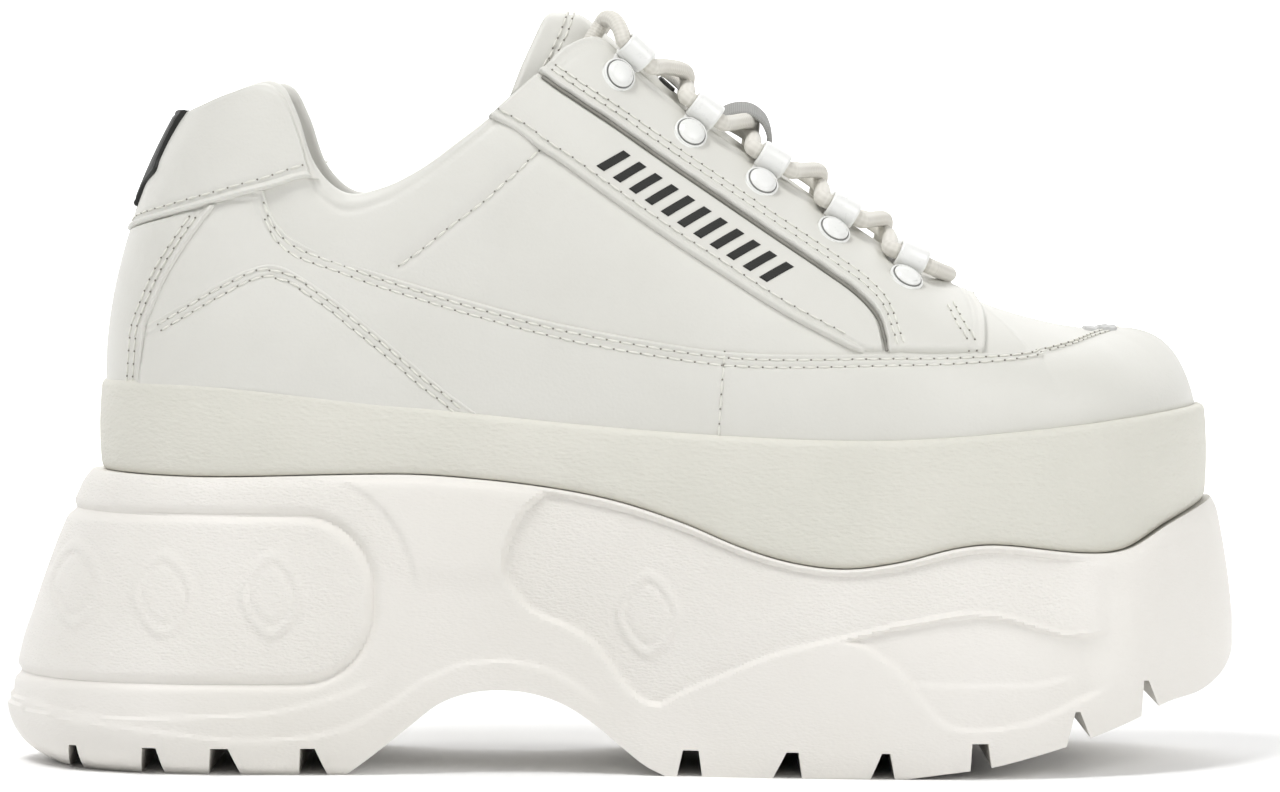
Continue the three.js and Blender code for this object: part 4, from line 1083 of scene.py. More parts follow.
def makeHeelPanel():
    q = np.linspace(-1, 1, 241)
    a = np.abs(q) * collarLook["end"]
    side = np.where(q <= 0, outer, inner)
    low = heightPlaces(a, collarLine["z"](a), side)
    high = 1 - rimWidth(a) / wallLength(a, side)
    high = np.maximum(high, low + 0.004)
    v = edgeRows(collarLook["width"], 5.0, 20) / collarLook["width"]
    t = low + (high - low) * v[:, None]
    aGrid, sideGrid = np.broadcast_to(a, t.shape), np.broadcast_to(side, t.shape)
    lowEdge = upperPoint(a, low, side)
    highEdge = upperPoint(a, high, side)

    def pipe(base):  # a piped edge, the crease behind it and the stitched trough
        below = distanceTo(base, [lowEdge])
        height = rib(below, collarLook["pipe"]) - rib(below, collarLook["crease"])
        return height - rib(below, collarLook["trough"])

    piece = makePanel("heel_collar_panel", aGrid, t, sideGrid, [lowEdge, highEdge], collarLook, pipe)
    finishPiece(piece, "panel_leather", "heel_panel")
    shown = np.abs(q) < collarLook["stitchEnd"]
    stitched = low + collarLook["trough"][1] / wallLength(a, side)
    path = overUpper(a, stitched, side, collarLook["lift"])[shown]
    sew("heel_collar_stitches", [path], "panel_leather", piece, collarLook["pitch"])


# side strap with a piped lower edge and a row of plain printed bars
strapLow = [(-33.3, 160.6), (-27.0, 157.2), (-22.0, 153.4), (-15.7, 149.3), (-2.6, 139.8), (10.3, 130.8),
            (23.4, 122.2), (36.5, 113.8), (46.2, 108.4), (54.0, 104.4), (59.5, 101.2)]
strapHigh = [(-21.4, 171.6), (-15.5, 167.4), (-11.1, 164.5), (-2.6, 158.7), (10.3, 149.6), (23.4, 140.6),
             (36.5, 131.6), (49.3, 122.9), (57.1, 117.2), (62.0, 111.6), (64.2, 103.4)]
strapLook = {**panelSet, "lift": 1.2, "rows": (), "round": 0.5, "puff": 0.35, "reach": 5, "width": 13.0,
             "gap": 1.15, "pipe": (0.6, 0.8, 0.6), "crease": (0.3, 1.75, 0.4), "sewnAt": 2.5, "pitch": 3.6}
barSet = {"count": 11, "start": 0.255, "step": 0.0435, "width": 2.6, "low": 0.29, "high": 0.76, "slant": 3.2,
          "proud": 0.14, "under": 0.4, "strapLength": 128.0}


def strapPlace(u, v):  # u along the strap from the collar, v across it from its lower edge
    low, high = evenly(strapLow, 200), insetLine(strapHigh, strapLook["gap"], 200)
    at = np.linspace(0, 1, len(low))
    return [np.interp(u, at, low[:, k]) * (1 - v) + np.interp(u, at, high[:, k]) * v for k in (0, 1)]


def strapRelief(base, lowEdge):  # piped lower edge and the crease behind it
    below = distanceTo(base, [lowEdge])
    return rib(below, strapLook["pipe"]) - rib(below, strapLook["crease"]) + tuckUnder(base)


def makeStraps():
    v = edgeRows(strapLook["width"], 4.0, 14)[:-1] / strapLook["width"]
    v = np.unique(np.concatenate([v, np.linspace(0.86, 1, 8)]))
    x, z = strapPlace(*np.meshgrid(np.linspace(0, 1, 150), v, indexing="xy"))
    for name, side in bothSides.items():
        a, t = findOnUpper(x, z, side)
        lowEdge, highEdge = upperPoint(a[[0, -1]], t[[0, -1]], side)
        piece = makePanel(f"strap_{name}", a, t, side, [lowEdge, highEdge], strapLook,
                          lambda base: strapRelief(base, lowEdge))
        finishPiece(piece, "strap_leather", f"side_strap_{name}")
        run = insetLine(strapLow, -strapLook["sewnAt"])[1:-6:5]
        row = sideLine(run, side, 90, strapLook["lift"] + 0.05)
        sew(f"strap_stitches_{name}", [row], "strap_leather", piece, strapLook["pitch"])
        makeBars(name, side, [lowEdge, highEdge])


def makeBars(name, side, edges):  # plain slanted bars, all alike
    points, faces = [], []
    v = np.linspace(barSet["low"], barSet["high"], 14)[:, None]
    w = np.linspace(0, 1, 6)[None, :]
    for k in range(barSet["count"]):
        start = barSet["start"] + k * barSet["step"]
        u = start + (w * barSet["width"] + (v - 0.5) * barSet["slant"]) / barSet["strapLength"]
        a, t = findOnUpper(*strapPlace(u, np.broadcast_to(v, u.shape)), side)
        base = upperPoint(a, t, side)
        rise = panelHeight(distanceTo(base, edges), strapLook) + barSet["proud"]
        p, f = closedSheet(overUpper(a, t, side, rise), overUpper(a, t, side, rise - barSet["under"]))
        faces.append(f + len(p) * k)
        points.append(p)
    finishPiece(newPiece(f"strap_bars_{name}", np.concatenate(points), np.concatenate(faces), [blackPrint]),
                "strap_leather")


# eyestay from the strap to the throat, and round the throat's front
staySeam = strapHigh[:-1] + [(63.6, 106.5)]
seamEnd = [(64.2, 103.6)]  # where its rows of stitches end
stayLow = staySeam + [(64.4, 102.6), (70.0, 101.4), (78.0, 101.2), (87.4, 101.4)]
stayFront = [(87.4, 101.4), (86.6, 105.2), (83.9, 109.6), (81.6, 114.2)]
stayLook = {**panelSet, "lift": 1.5, "rows": (2.0, 3.4), "roll": 0.3, "rollAt": 0.6, "rollWidth": 0.5,
            "dip": 0.25, "puff": 0.15, "round": 0.45, "under": 0.3, "wave": 0.07, "waveLength": 11.0,
            "length": 165, "width": 26.0, "throat": (0.448, 0.7, 0.775), "frontRows": (1.2, 2.9),
            "pitch": 3.1}
# the cord of painted shadow in the gap between strap and eyestay
gapShadowSet = {"inset": 0.45, "skip": 3, "lift": 0.35, "radius": 0.45}


def makeEyestays():
    behind, ahead = 165, 65  # columns along the throat and round its front
    low = evenly(stayLow, behind + ahead)
    along = np.linspace(0, stayLook["length"], behind + ahead)
    low[:, 1] += stayLook["wave"] * np.sin(2 * np.pi * along / stayLook["waveLength"] + np.sin(along / 9.0))
    first, turning, last = stayLook["throat"]
    highA = np.concatenate([np.linspace(first, turning, behind), np.linspace(turning, last, ahead + 1)[1:]])
    v = edgeRows(stayLook["width"], 5.0, 16) / stayLook["width"]
    v = np.unique(np.concatenate([v, [0.9, 0.95, 0.98, 1.0]]))
    for name, side in bothSides.items():
        a0, t0 = findOnUpper(*low.T, side)
        t1 = np.where(highA < shape["throatFront"], topT(highA, side) - 0.002, 1.0)
        a = mixPaths(a0, highA, v)
        t = mixPaths(t0, t1, v)
        base = upperPoint(a, t, side)
        free = base[0][(low[:, 1] > 103.0)]
        throat = base[-1][highA < shape["throatFront"] - 0.004]
        piece = makePanel(f"eyestay_{name}", a, t, side, [free, throat, base[:, -1]], stayLook, tuckUnder)
        finishPiece(piece, "upper_leather")
        height = stayLook["lift"] - 0.2
        rows = [sideLine(insetLine(staySeam + seamEnd, -inset)[2:-1:5], side, 110, height)
                for inset in stayLook["rows"]]
        rows += [sideLine(insetLine(stayFront, -inset)[8::8], side, 30, height)
                 for inset in stayLook["frontRows"]]
        sew(f"eyestay_stitches_{name}", rows, "upper_leather", piece, stayLook["pitch"])


def makeGapShadows():  # a dark cord laid in the gap between the strap and the eyestay: painted shadow where the eyestay's edge shades the strap
    for name, side in bothSides.items():
        run = insetLine(staySeam + seamEnd, gapShadowSet["inset"], 200)
        path = sideLine(run[gapShadowSet["skip"]:], side, 200, gapShadowSet["lift"])
        points, faces, _ = tube(path, gapShadowSet["radius"], 10)
        piece = newPiece(f"eyestay_edge_{name}", points, faces, [gapShadow])
        weld(piece)
        finishPiece(piece, "upper_leather")


def makeSideHoles():
    rows = [sideLine(sideHoles, side, 50, 0.6) for side in (outer, inner)]
    sew("side_stitches", rows, "upper_leather", bpy.data.objects["upper_shell"], 3.6)


makeFoxing()
makeLowerQuarter()
makeCounter()
makeHeelPanel()
makeStraps()
makeEyestays()
makeGapShadows()
makeSideHoles()
print("panels sewn on")

# black patch at the back of the heel
patchSet = {"rows": (137.8, 161.3), "lift": 2.5, "thick": 0.55, "edge": 0.6, "under": 0.4,
            "trough": (0.22, 1.6, 0.4)}
patchHalf = line((137.6, 0.02), (141.0, 0.028), (143.4, 0.033), (145.2, 0.051), (146.5, 0.06), (149.5, 0.056),
                 (157.6, 0.058), (161.5, 0.069))


def makePatch():
    z = np.linspace(*patchSet["rows"], 48)
    q = np.linspace(-1, 1, 49)
    a = np.abs(q)[None, :] * patchHalf(z)[:, None]
    side = np.broadcast_to(np.where(q <= 0, outer, inner)[None, :], a.shape)
    t = heightPlaces(a, np.broadcast_to(z[:, None], a.shape), side)
    base = upperPoint(a, t, side)
    distance = distanceTo(base, [base[0], base[-1], base[:, 0], base[:, -1]])
    rise = patchSet["thick"] * np.sqrt(1 - (1 - np.clip(distance / patchSet["edge"], 0, 1)) ** 2)
    height = patchSet["lift"] + rise - rib(distance, patchSet["trough"])
    points, faces = closedSheet(overUpper(a, t, side, height), overUpper(a, t, side, patchSet["under"]))
    finishPiece(newPiece("heel_patch", points, faces, [blackPrint]), "panel_leather")


makePatch()

# midsole band
stationPlaces = np.array([0.0, 0.25, 0.45, 0.66, 1.0])
bandOut = line(*zip(stationPlaces, (3.0, 2.6, 2.6, 3.3, 3.9)))
bandSet = {"columns": 300, "rows": 26, "lip": 2.0, "inset": 0.25, "swell": 0.5, "seamRound": 0.5,
           "ripple": 0.16}


def soleRing(count):  # a and side all round, spaced evenly along the edge
    dense = np.linspace(0, 1, 4001)
    edge = lowerEdge(dense, outer)
    run = runLength(edge)
    share = np.interp(np.linspace(0, run[-1], count + 1), run, dense)
    a = np.concatenate([share, share[-2:0:-1]])
    return a, np.concatenate([np.full(count + 1, outer), np.full(count - 1, inner)])


def capFaces(start, count, flip):  # quads across the body between its two sides
    c = np.arange(count // 2)
    quads = np.stack([start + c, start + (count - c) % count, start + count - c - 1, start + c + 1], 1)
    return quads[:, ::-1] if flip else quads


def ringBody(rings):
    rows, count = rings.shape[:2]
    faces = np.concatenate([gridFaces(rows, count, wrap=True), capFaces(0, count, True),
                            capFaces((rows - 1) * count, count, False)])
    return rings.reshape(-1, 3), faces


def sidePlace(a, side, out):
    return lowerEdge(a, side) + outward(a, side) * np.asarray(out)[..., None]


def makeBand():
    a, side = soleRing(bandSet["columns"])
    stand = bandOut(a)
    rings = []
    for share in np.linspace(0, 1, bandSet["rows"]):
        place = sidePlace(a, side, stand)
        low = seamHeight(place[:, 0]) + shape["gap"]
        high = lipHeight(place[:, 0]) - bandSet["lip"]
        z = low + (high - low) * share
        swell = bandSet["swell"] * np.sin(np.pi * share)
        swell = swell - bandSet["seamRound"] * bump(share * (high - low), 0.8)
        x = place[:, 0]
        ripple = bandSet["ripple"] * np.sin(x / 2.9 + 1.3 * np.sin(x / 17) + side) * np.sin(np.pi * share)
        ripple = ripple * (0.5 + 0.5 * np.sin(x / 23 + 2))
        place = sidePlace(a, side, stand + swell + ripple - bandSet["inset"])
        rings.append(np.concatenate([place, z[:, None]], 1))
    for turn in np.linspace(0, np.pi / 2, 8)[1:]:
        drawnIn = bandSet["lip"] * (1 - np.cos(turn))
        place = sidePlace(a, side, stand - bandSet["inset"] - drawnIn)
        z = lipHeight(place[:, 0]) - bandSet["lip"] * (1 - np.sin(turn))
        rings.append(np.concatenate([place, z[:, None]], 1))
    place = sidePlace(a, side, -2.0)
    rings.append(np.concatenate([place, lipHeight(place[:, 0])[:, None] - 0.1], 1))
    points, faces = ringBody(np.array(rings))
    piece = newPiece("midsole_band", points, faces, [bandSkin])
    weld(piece, 0.01)
    finishPiece(piece, "sole_band", "midsole")


makeBand()
print("midsole made")

# outsole
soleSet = {"columns": 380, "rows": 92, "shoulder": 1.1, "shoulderDepth": 4, "seamOut": 5, "crease": 32,
           "cutReach": 90.0}
wallOut = table("z back heel waist ball toe", [
    (0, 13.0, 5.5, 2.0, 5.6, 8.0), (2.5, 18.0, 8.3, 2.2, 7.2, 9.6), (6, 22.0, 10.0, 2.5, 8.2, 10.4),
    (12, 24.8, 11.2, 2.8, 8.8, 10.8), (19, 25.0, 11.4, 3.2, 9.0, 10.8), (30, 22.8, 10.6, 3.8, 8.6, 10.8),
    (37, 20.5, 9.8, 4.2, 7.8, 10.7), (46, 17.5, 8.6, 4.7, 6.4, 9.8), (56, 13.8, 7.2, 5.0, 5.2, 8.2),
    (64, 10.3, 6.0, 4.8, 5.0, 6.6), (70, 7.6, 4.9, 4.4, 4.8, 5.4), (76, 4.8, 3.8, 3.8, 4.6, 4.6),
])
archCurve = [(-68, 0.0), (-60, 6.0), (-52, 12.4), (-45, 17.6), (-37.5, 20.2), (-30, 20.8), (-23, 20.1),
             (-15.5, 17.7), (-8.5, 13.4), (-1, 7.3), (5, 2.5), (10, 0.0)]
springCurve = [(68, 0.0), (77, 1.3), (88.5, 2.9), (98, 5.2), (108, 8.0), (116, 10.6), (126, 14.3),
               (133, 17.4), (142, 19.3), (148.5, 23.0), (152, 27.5), (154, 32.0)]
treadGrooves = [  # mouth from and to, roof from and to, roof height
    (-137.4, -133.3, -136.6, -134.6, 6.5), (-118.5, -112.2, -117.8, -114.4, 6.7),
    (-101.7, -93.2, -101.0, -96.6, 6.7), (-79.6, -72.1, -79.1, -75.5, 6.7), (12.5, 19.0, 14.2, 18.0, 6.5),
    (35.5, 43.2, 39.3, 42.2, 6.5), (59.2, 65.7, 62.3, 64.3, 6.5), (83.5, 89.5, 84.1, 88.0, 8.9),
    (105.0, 117.5, 109.4, 110.6, 16.2), (125.0, 138.0, 126.8, 128.0, 23.0),
]
# raised and sunk fields on the outsole's wall, drawn in the side view
firstRidge = [(-149.5, 16.5), (-127, 14), (-105, 14.5), (-87, 15.5), (-73.5, 18.5), (-63, 22.5), (-58, 27)]
secondRidge = [(-138.5, 13.5), (-119, 11.5), (-97.5, 9), (-84, 9), (-70, 11), (-56.5, 18), (-49.5, 23),
               (-45, 25), (-40, 27), (-29.5, 28), (-20.5, 26.5), (-14, 23.5), (-7.5, 19), (-3, 16)]
recessEdge = [(-14, 75), (-19, 70), (-25.5, 64.5), (-29, 57), (-30, 51), (-28, 46), (-23, 40), (-14, 36),
              (-8.5, 32.5), (-4, 27), (0.5, 21), (4.5, 18), (8.5, 17), (14, 20), (25, 25), (34.5, 29),
              (42.5, 31.5), (55, 34.5), (65, 37), (75, 39), (84.5, 40), (92, 39.3), (100, 37), (107.5, 35),
              (116, 35.5)]
waveEdge = [(51.5, 33.5), (57, 32.5), (62, 29.5), (67.5, 25), (71.5, 19.5), (76, 14.5), (80, 12.5), (88, 12),
            (97.5, 13.5), (105.5, 16.5), (116, 21)]
shelfEdge = [(69.5, 23.5), (81.5, 23), (94.5, 23), (100, 23), (110.5, 25)]
lozenges = [(-135.5, 45.5), (-112.5, 44), (-86, 44), (5.5, 39.5)]
reliefSet = {"panelEnd": -63.0, "panelMiddle": 42.9, "panelHalf": 18.8, "corner": 16.5, "groove": 1.4,
             "bandReach": 11.8, "step": 0.8, "ridge": 0.8, "recess": 1.9, "wave": 1.6, "lozenge": (8.2, 11.2),
             "lozengeRise": 0.6, "lozengeGroove": 0.5, "shelf": 0.6, "toeDip": (0.8, 118.5, 3.5)}


def sideOf(x, z, path):  # distance from a line in the side view, positive on its left
    p = evenly(path, 140)
    best = np.full(x.shape, 1e9)
    sign = np.ones(x.shape)
    for (px, pz), (qx, qz) in zip(p[:-1], p[1:]):
        dx, dz = qx - px, qz - pz
        u = np.clip(((x - px) * dx + (z - pz) * dz) / (dx * dx + dz * dz), 0, 1)
        miss = np.hypot(x - px - u * dx, z - pz - u * dz)
        left = np.where(dx * (z - pz) - dz * (x - px) >= 0, 1, -1)
        sign = np.where(miss < best, left, sign)
        best = np.minimum(best, miss)
    return best * sign


def soleRelief(x, z):
    look = reliefSet
    fromCorner = np.maximum(x - (look["panelEnd"] - look["corner"]), 0)
    fromMiddle = np.maximum(np.abs(z - look["panelMiddle"]) - (look["panelHalf"] - look["corner"]), 0)
    panel = np.hypot(fromCorner, fromMiddle) - look["corner"]
    height = -look["groove"] * bump(panel - 1.6, 1.15)
    upperPart = fade(z, 44, 52)
    bandEdge = look["bandReach"]
    step = look["step"] * fade(panel, bandEdge - 0.6, bandEdge + 0.7) * upperPart
    height = height + step * (1 - fade(x, -34, -20))
    first = sideOf(x, z, firstRidge)
    second = sideOf(x, z, secondRidge)
    height = height + look["ridge"] * fade(-first, -0.6, 0.6) * (1 - fade(x, -66, -57))
    height = height + look["ridge"] * fade(-second, -0.6, 0.6) * (1 - fade(x, -14, -3))
    recess = sideOf(x, z, recessEdge)
    inRecess = fade(recess, -0.2, 1.1) * (1 - fade(x, 103, 118)) * fade(x, -34, -30.5)
    height = height - look["recess"] * inRecess
    wave = sideOf(x, z, waveEdge)
    between = fade(wave, -0.5, 0.8) * fade(-recess, -0.2, 1.0) * (1 - fade(x, 110, 120)) * fade(x, 50, 56)
    height = height - look["wave"] * between
    shelf = fade(-sideOf(x, z, shelfEdge), -0.5, 0.6) * fade(x, 68, 74) * (1 - fade(x, 104, 112))
    height = height + look["shelf"] * shelf * between
    height = height - rib(x, look["toeDip"]) * fade(z, 24, 32) * (1 - fade(z, 46, 54))
    for centreX, centreZ in lozenges:
        wide, tall = look["lozenge"]
        reach = (np.abs(x - centreX) / wide) ** 1.5 + (np.abs(z - centreZ) / tall) ** 1.5
        inside = 1 - fade(reach, 0.86, 1.0)
        height = height + look["lozengeRise"] * inside
        height = height - look["lozengeGroove"] * bump(reach - 0.55, 0.09)
    grain = np.clip((1 - fade(panel, -0.8, 0.4)) + inRecess, 0, 1)
    bandPart = fade(panel, 3.0, 4.2) * (1 - fade(panel, bandEdge - 1.2, bandEdge)) * upperPart
    return height, np.maximum(grain, bandPart)


def prism(name, section):  # across the whole shoe, from a section in the side view
    p = np.array(section, float)
    count = len(p)
    points = np.concatenate([np.stack([p[:, 0], np.full(count, s * soleSet["cutReach"]), p[:, 1]], 1)
                             for s in (outer, inner)])
    around = [[i, (i + 1) % count, (i + 1) % count + count, i + count] for i in range(count)]
    caps = [list(range(count))[::-1], [count + i for i in range(count)]]
    cutter = addObject(name, (points * millimetre).tolist(), [], around + caps)
    weld(cutter, 0)
    return cutter


def cutAway(piece, cutters):
    for cutter in cutters:
        modifier = piece.modifiers.new(cutter.name, "BOOLEAN")
        modifier.operation = "DIFFERENCE"
        modifier.solver = "MANIFOLD"
        modifier.object = cutter
    applyModifiers(piece)
    for cutter in cutters:
        bpy.data.objects.remove(cutter)


def makeOutsole():
    a, side = soleRing(soleSet["columns"])
    share = np.linspace(0, 1, soleSet["rows"])
    share = np.concatenate([[0, 0.004, 0.009], share[1:]])
    seam = seamHeight(sidePlace(a, side, np.full(a.shape, soleSet["seamOut"]))[:, 0])
    z = seam[None, :] * (1 - share[:, None])
    aGrid, sideGrid = np.broadcast_to(a, z.shape), np.broadcast_to(side, z.shape)
    stations = np.stack([wallOut[name](z) for name in ("back", "heel", "waist", "ball", "toe")])
    out = hermite(stationPlaces, stations, aGrid)
    below = seam[None, :] - z
    out = out - soleSet["shoulder"] * np.maximum(0, 1 - below / soleSet["shoulderDepth"]) ** 2
    relief, _ = soleRelief(sidePlace(aGrid, sideGrid, out)[..., 0], z)
    place = sidePlace(aGrid, sideGrid, out + relief * fade(below, 0.6, 2.0))
    points, faces = ringBody(np.concatenate([place, z[..., None]], -1))
    piece = newPiece("outsole_shell", points, faces, [rubber])
    weld(piece, 0.01)
    cutters = [prism("archCut", [(-68, -5), *evenly(archCurve, 60), (10, -5)]),
               prism("springCut", [(68, -5), *evenly(springCurve, 60), (163, 41), (163, -5)])]
    for k, (back, front, roofBack, roofFront, roof) in enumerate(treadGrooves):
        cutters.append(prism(f"grooveCut{k}", [(back, -1), (roofBack, roof), (roofFront, roof), (front, -1)]))
    cutAway(piece, cutters)
    mesh = piece.data
    place = np.empty(len(mesh.vertices) * 3, np.float32)
    mesh.vertices.foreach_get("co", place)
    place = place.reshape(-1, 3) / millimetre
    _, grain = soleRelief(place[:, 0], place[:, 2])
    layer = mesh.attributes.new("grain", "FLOAT", "POINT")
    layer.data.foreach_set("value", grain.astype(np.float32))
    mesh.shade_smooth()
    mesh.set_sharp_from_angle(angle=math.radians(soleSet["crease"]))
    finishPiece(piece, "sole_rubber", "outsole")


makeOutsole()
print("outsole made")

# insole and tongue
insoleSet = {"columns": 90, "inset": 6.5,
             "rings": ((0.0, 0.0), (0.0, 2.4), (0.25, 3.2), (0.8, 3.8), (1.6, 4.0), (6.0, 3.7))}


def makeInsole():
    a, side = soleRing(insoleSet["columns"])
    rings = []
    for inset, lift in insoleSet["rings"]:
        place = sidePlace(a, side, np.full(a.shape, -insoleSet["inset"] - inset))
        rings.append(np.concatenate([place, lipHeight(place[:, 0])[:, None] + shape["gap"] + lift], 1))
    points, faces = ringBody(np.array(rings))
    piece = newPiece("insole_bed", points, faces, [lining])
    weld(piece, 0.01)
    finishPiece(piece, "insole_lining", "insole")


tongueTable = table("u a low lift sink crown", [
    (0, 0.78, 0.82, 0, 0.8, 0), (1, 0.75, 0.8, 0, 0.8, 0.2), (2, 0.71, 0.8, 0, 0.8, 1.6),
    (3, 0.66, 0.78, 0, 0.8, 3.4), (4, 0.61, 0.76, 0, 0.8, 4.0), (5, 0.56, 0.76, 0, 0.9, 4.6),
    (6, 0.52, 0.78, 0, 1.6, 5.6), (7, 0.49, 0.8, 0, 5.5, 8.6), (8, 0.476, 0.8, 3, 5.5, 7.8),
    (9, 0.468, 0.8, 8, 5.5, 6.0),
])
tongueSet = {"rows": 100, "across": 61, "thick": 4.5, "round": 1.7, "back": 0.42, "swell": 0.7,
             "trough": (0.45, 6.2, 0.8), "stitched": (5.4, 7.0), "pitch": 3.2}


def tongueSection(u, depth):
    row = {name: float(column(u)) for name, column in tongueTable.items()}
    a, low = row["a"], row["low"]
    legs = {}
    for side in (outer, inner):
        t = np.array([low, (1 + low) / 2, 1.0])
        drop = wallThick(np.full(3, a), t) + row["sink"] + depth
        legs[side] = overUpper(np.full(3, a), t, side, -drop)
    if a < shape["throatFront"]:
        crown = np.array([0, 0, row["crown"]])
        middle = [legs[outer][2] * (1 - w) + legs[inner][2] * w + crown for w in (0.25, 0.75)]
        edges = [legs[outer][2], *middle, legs[inner][2]]
    else:
        edges = [legs[outer][2]]
    points = [legs[outer][0], legs[outer][1], *edges, legs[inner][1], legs[inner][0]]
    section = smoothPath(points, tongueSet["across"])
    section = section + np.array([-0.8, 0, 0.6]) * row["lift"]
    drop = np.maximum(section[:, 2].max() - section[:, 2], 0)
    section[:, 0] -= tongueSet["back"] * drop * smoothStep((u - 6.2) / 2.8)
    return section


def makeTongue():
    u = 9 * (1 - (1 - np.linspace(0, 1, tongueSet["rows"])) ** 1.25)
    top = np.array([tongueSection(v, 0) for v in u])
    under = np.array([tongueSection(v, tongueSet["thick"]) for v in u])
    edges = [top[-1], top[:, 0], top[:, -1]]
    distance = distanceTo(top, edges)
    curve = tongueSet["round"] * (1 - np.sqrt(1 - (1 - np.clip(distance / tongueSet["round"], 0, 1)) ** 2))
    swell = tongueSet["swell"] * (1 - bump(np.maximum(distance - 6.5, 0), 6))
    height = -curve - rib(distance, tongueSet["trough"]) + swell
    normal = unit(top - under)
    thick = np.linalg.norm(top - under, axis=-1)
    outside = top + normal * height[..., None]
    inside = top - normal * (thick - 0.8 * curve)[..., None]
    points, faces = closedSheet(outside, inside)
    piece = newPiece("tongue_pad", points, faces, [leather])
    finishPiece(piece, "tongue_leather", "tongue")
    across = np.linspace(6, tongueSet["across"] - 7, 40).astype(int)
    row = []
    for inset in tongueSet["stitched"]:
        reach = np.abs(distanceTo(top, [top[-1]])[:, across] - inset).argmin(0)
        row.append(outside[reach, across])
    sew("tongue_stitches", row, "tongue_leather", piece, tongueSet["pitch"])


makeInsole()
makeTongue()
print("tongue made")


# lace loops, rivets and the lace keeper
def inLoop(loop, points):  # from across, out, forward to the shoe
    basis = np.stack([loop["across"], loop["out"], loop["forward"]])
    return loop["place"] + np.asarray(points, float) @ basis


def lathe(profile, sides):  # closed body round the second axis, from pole to pole
    profile = np.array(profile, float)
    turn = np.linspace(0, 2 * np.pi, sides, endpoint=False)
    ring = np.stack([np.cos(turn), np.zeros(sides), np.sin(turn)], 1)
    points = profile[:, 0, None, None] * ring + profile[:, 1, None, None] * np.array([0, 1.0, 0])
    return points.reshape(-1, 3), gridFaces(len(profile), sides, wrap=True)


def barrel(sides=40):  # tube of the loop round the third axis
    half = loopSet["length"] / 2
    outside, bore = loopSet["radius"], loopSet["bore"]
    end = [(bore, half - 0.5), (bore + 0.12, half - 0.16), (bore + 0.5, half), (outside - 0.35, half - 0.08),
           (outside - 0.08, half - 0.35), (outside, half - 0.8)]
    profile = np.array([(r, -z) for r, z in end] + [(outside + 0.05, 0)] + end[::-1])
    turn = np.linspace(0, 2 * np.pi, sides, endpoint=False)
    points = np.stack([profile[:, 0, None] * np.cos(turn), profile[:, 0, None] * np.sin(turn),
                       np.broadcast_to(profile[:, 1, None], (len(profile), sides))], -1)
    last = (len(profile) - 1) * sides
    c = np.arange(sides)
    closing = np.stack([last + c, last + (c + 1) % sides, (c + 1) % sides, c], 1)
    faces = np.concatenate([gridFaces(len(profile), sides, wrap=True), closing])
    return points.reshape(-1, 3) + [loopSet["across"], loopSet["out"], 0], faces


def footPlate():
    u = np.linspace(-1, 1, 41)[:, None]
    v = np.linspace(-1, 1, 21)[None, :]
    reach, neck, back = loopSet["washer"], loopSet["neck"], loopSet["shift"]
    towardsTube = u * (loopSet["across"] + 0.6 + back) - back
    across = np.where(u < 0, -back - reach * np.sin(-u * np.pi / 2), towardsTube)
    half = np.where(u < 0, reach * np.cos(u * np.pi / 2), reach + (neck - reach) * smoothStep(u * 1.6))
    y = np.maximum(half, 0.25) * v
    x = np.broadcast_to(across, y.shape)
    rim = np.minimum((1 - np.abs(v)) * np.maximum(half, 0.25), np.where(u < 0, (1 + u) * 3, 9))
    top = shape["gap"] + loopSet["plate"] - 0.45 * (1 - np.clip(rim / 0.6, 0, 1)) ** 2
    upper = np.stack([x, top + 0.5 * smoothStep((x - 3.0) / 3.0), y], -1)
    lower = np.stack([x, np.full(x.shape, shape["gap"] - 0.9), y], -1)
    return closedSheet(upper, lower)


def rivetBody():  # washer, groove and dome, turned towards the side; the groove's faces carry a grey painted shade tone
    base = shape["gap"] + loopSet["plate"] - 0.1
    r, dome, foot = loopSet["rivet"], loopSet["dome"], loopSet["foot"]
    rise = [(0.001, base - foot), (r + 0.85, base - foot), (r + 0.85, base + 0.15), (r + 0.7, base + 0.32),
            (r + 0.32, base + 0.34), (r + 0.22, base + 0.05), (r - 0.02, base + 0.05), (r, base + 0.3),
            (r + 0.02, base + 0.62), (r - 0.12, base + 0.86), (r - 0.45, base + 1.0)]
    groove = range(4, 8)  # rows of faces in the groove, toned grey as painted shade
    reach = r - 0.6
    arc = [(reach * math.cos(k), base + 0.98 + (dome - 0.98) * math.sin(k)) for k in np.linspace(0.1, 1.5, 8)]
    profile = [*rise, *arc, (0.001, base + dome)]
    points, faces = lathe(profile, 36)
    slots = np.repeat([int(row in groove) for row in range(len(profile) - 1)], 36)
    tilt = math.radians(loopSet["tilt"])
    cosine, sine = math.cos(tilt), math.sin(tilt)
    x, y, z = (points - [0, base, 0]).T
    turned = np.stack([x * cosine - y * sine, x * sine + y * cosine, z], 1)
    return turned + [-loopSet["shift"], base + loopSet["seat"], 0], faces, slots


def makeLoops():
    for name, side in bothSides.items():
        for i, loop in enumerate(loops[side]):
            points, faces = footPlate()
            tubePoints, tubeFaces = barrel()
            both = np.concatenate([points, tubePoints])
            faces = np.concatenate([orient(points, faces), orient(tubePoints, tubeFaces) + len(points)])
            piece = newPiece(f"loop_{name}_{i + 1}", inLoop(loop, both), faces, [enamel])
            weld(piece)
            piece.data.set_sharp_from_angle(angle=math.radians(50))
            finishPiece(piece, "loop_enamel", f"lace_loop_{name}_{i + 1}")
            points, faces, slots = rivetBody()
            piece = newPiece(f"rivet_head_{name}_{i + 1}", inLoop(loop, points), faces, [enamel, enamelShade],
                             slots=slots)
            weld(piece)
            finishPiece(piece, "rivet_enamel", f"rivet_{name}_{i + 1}")


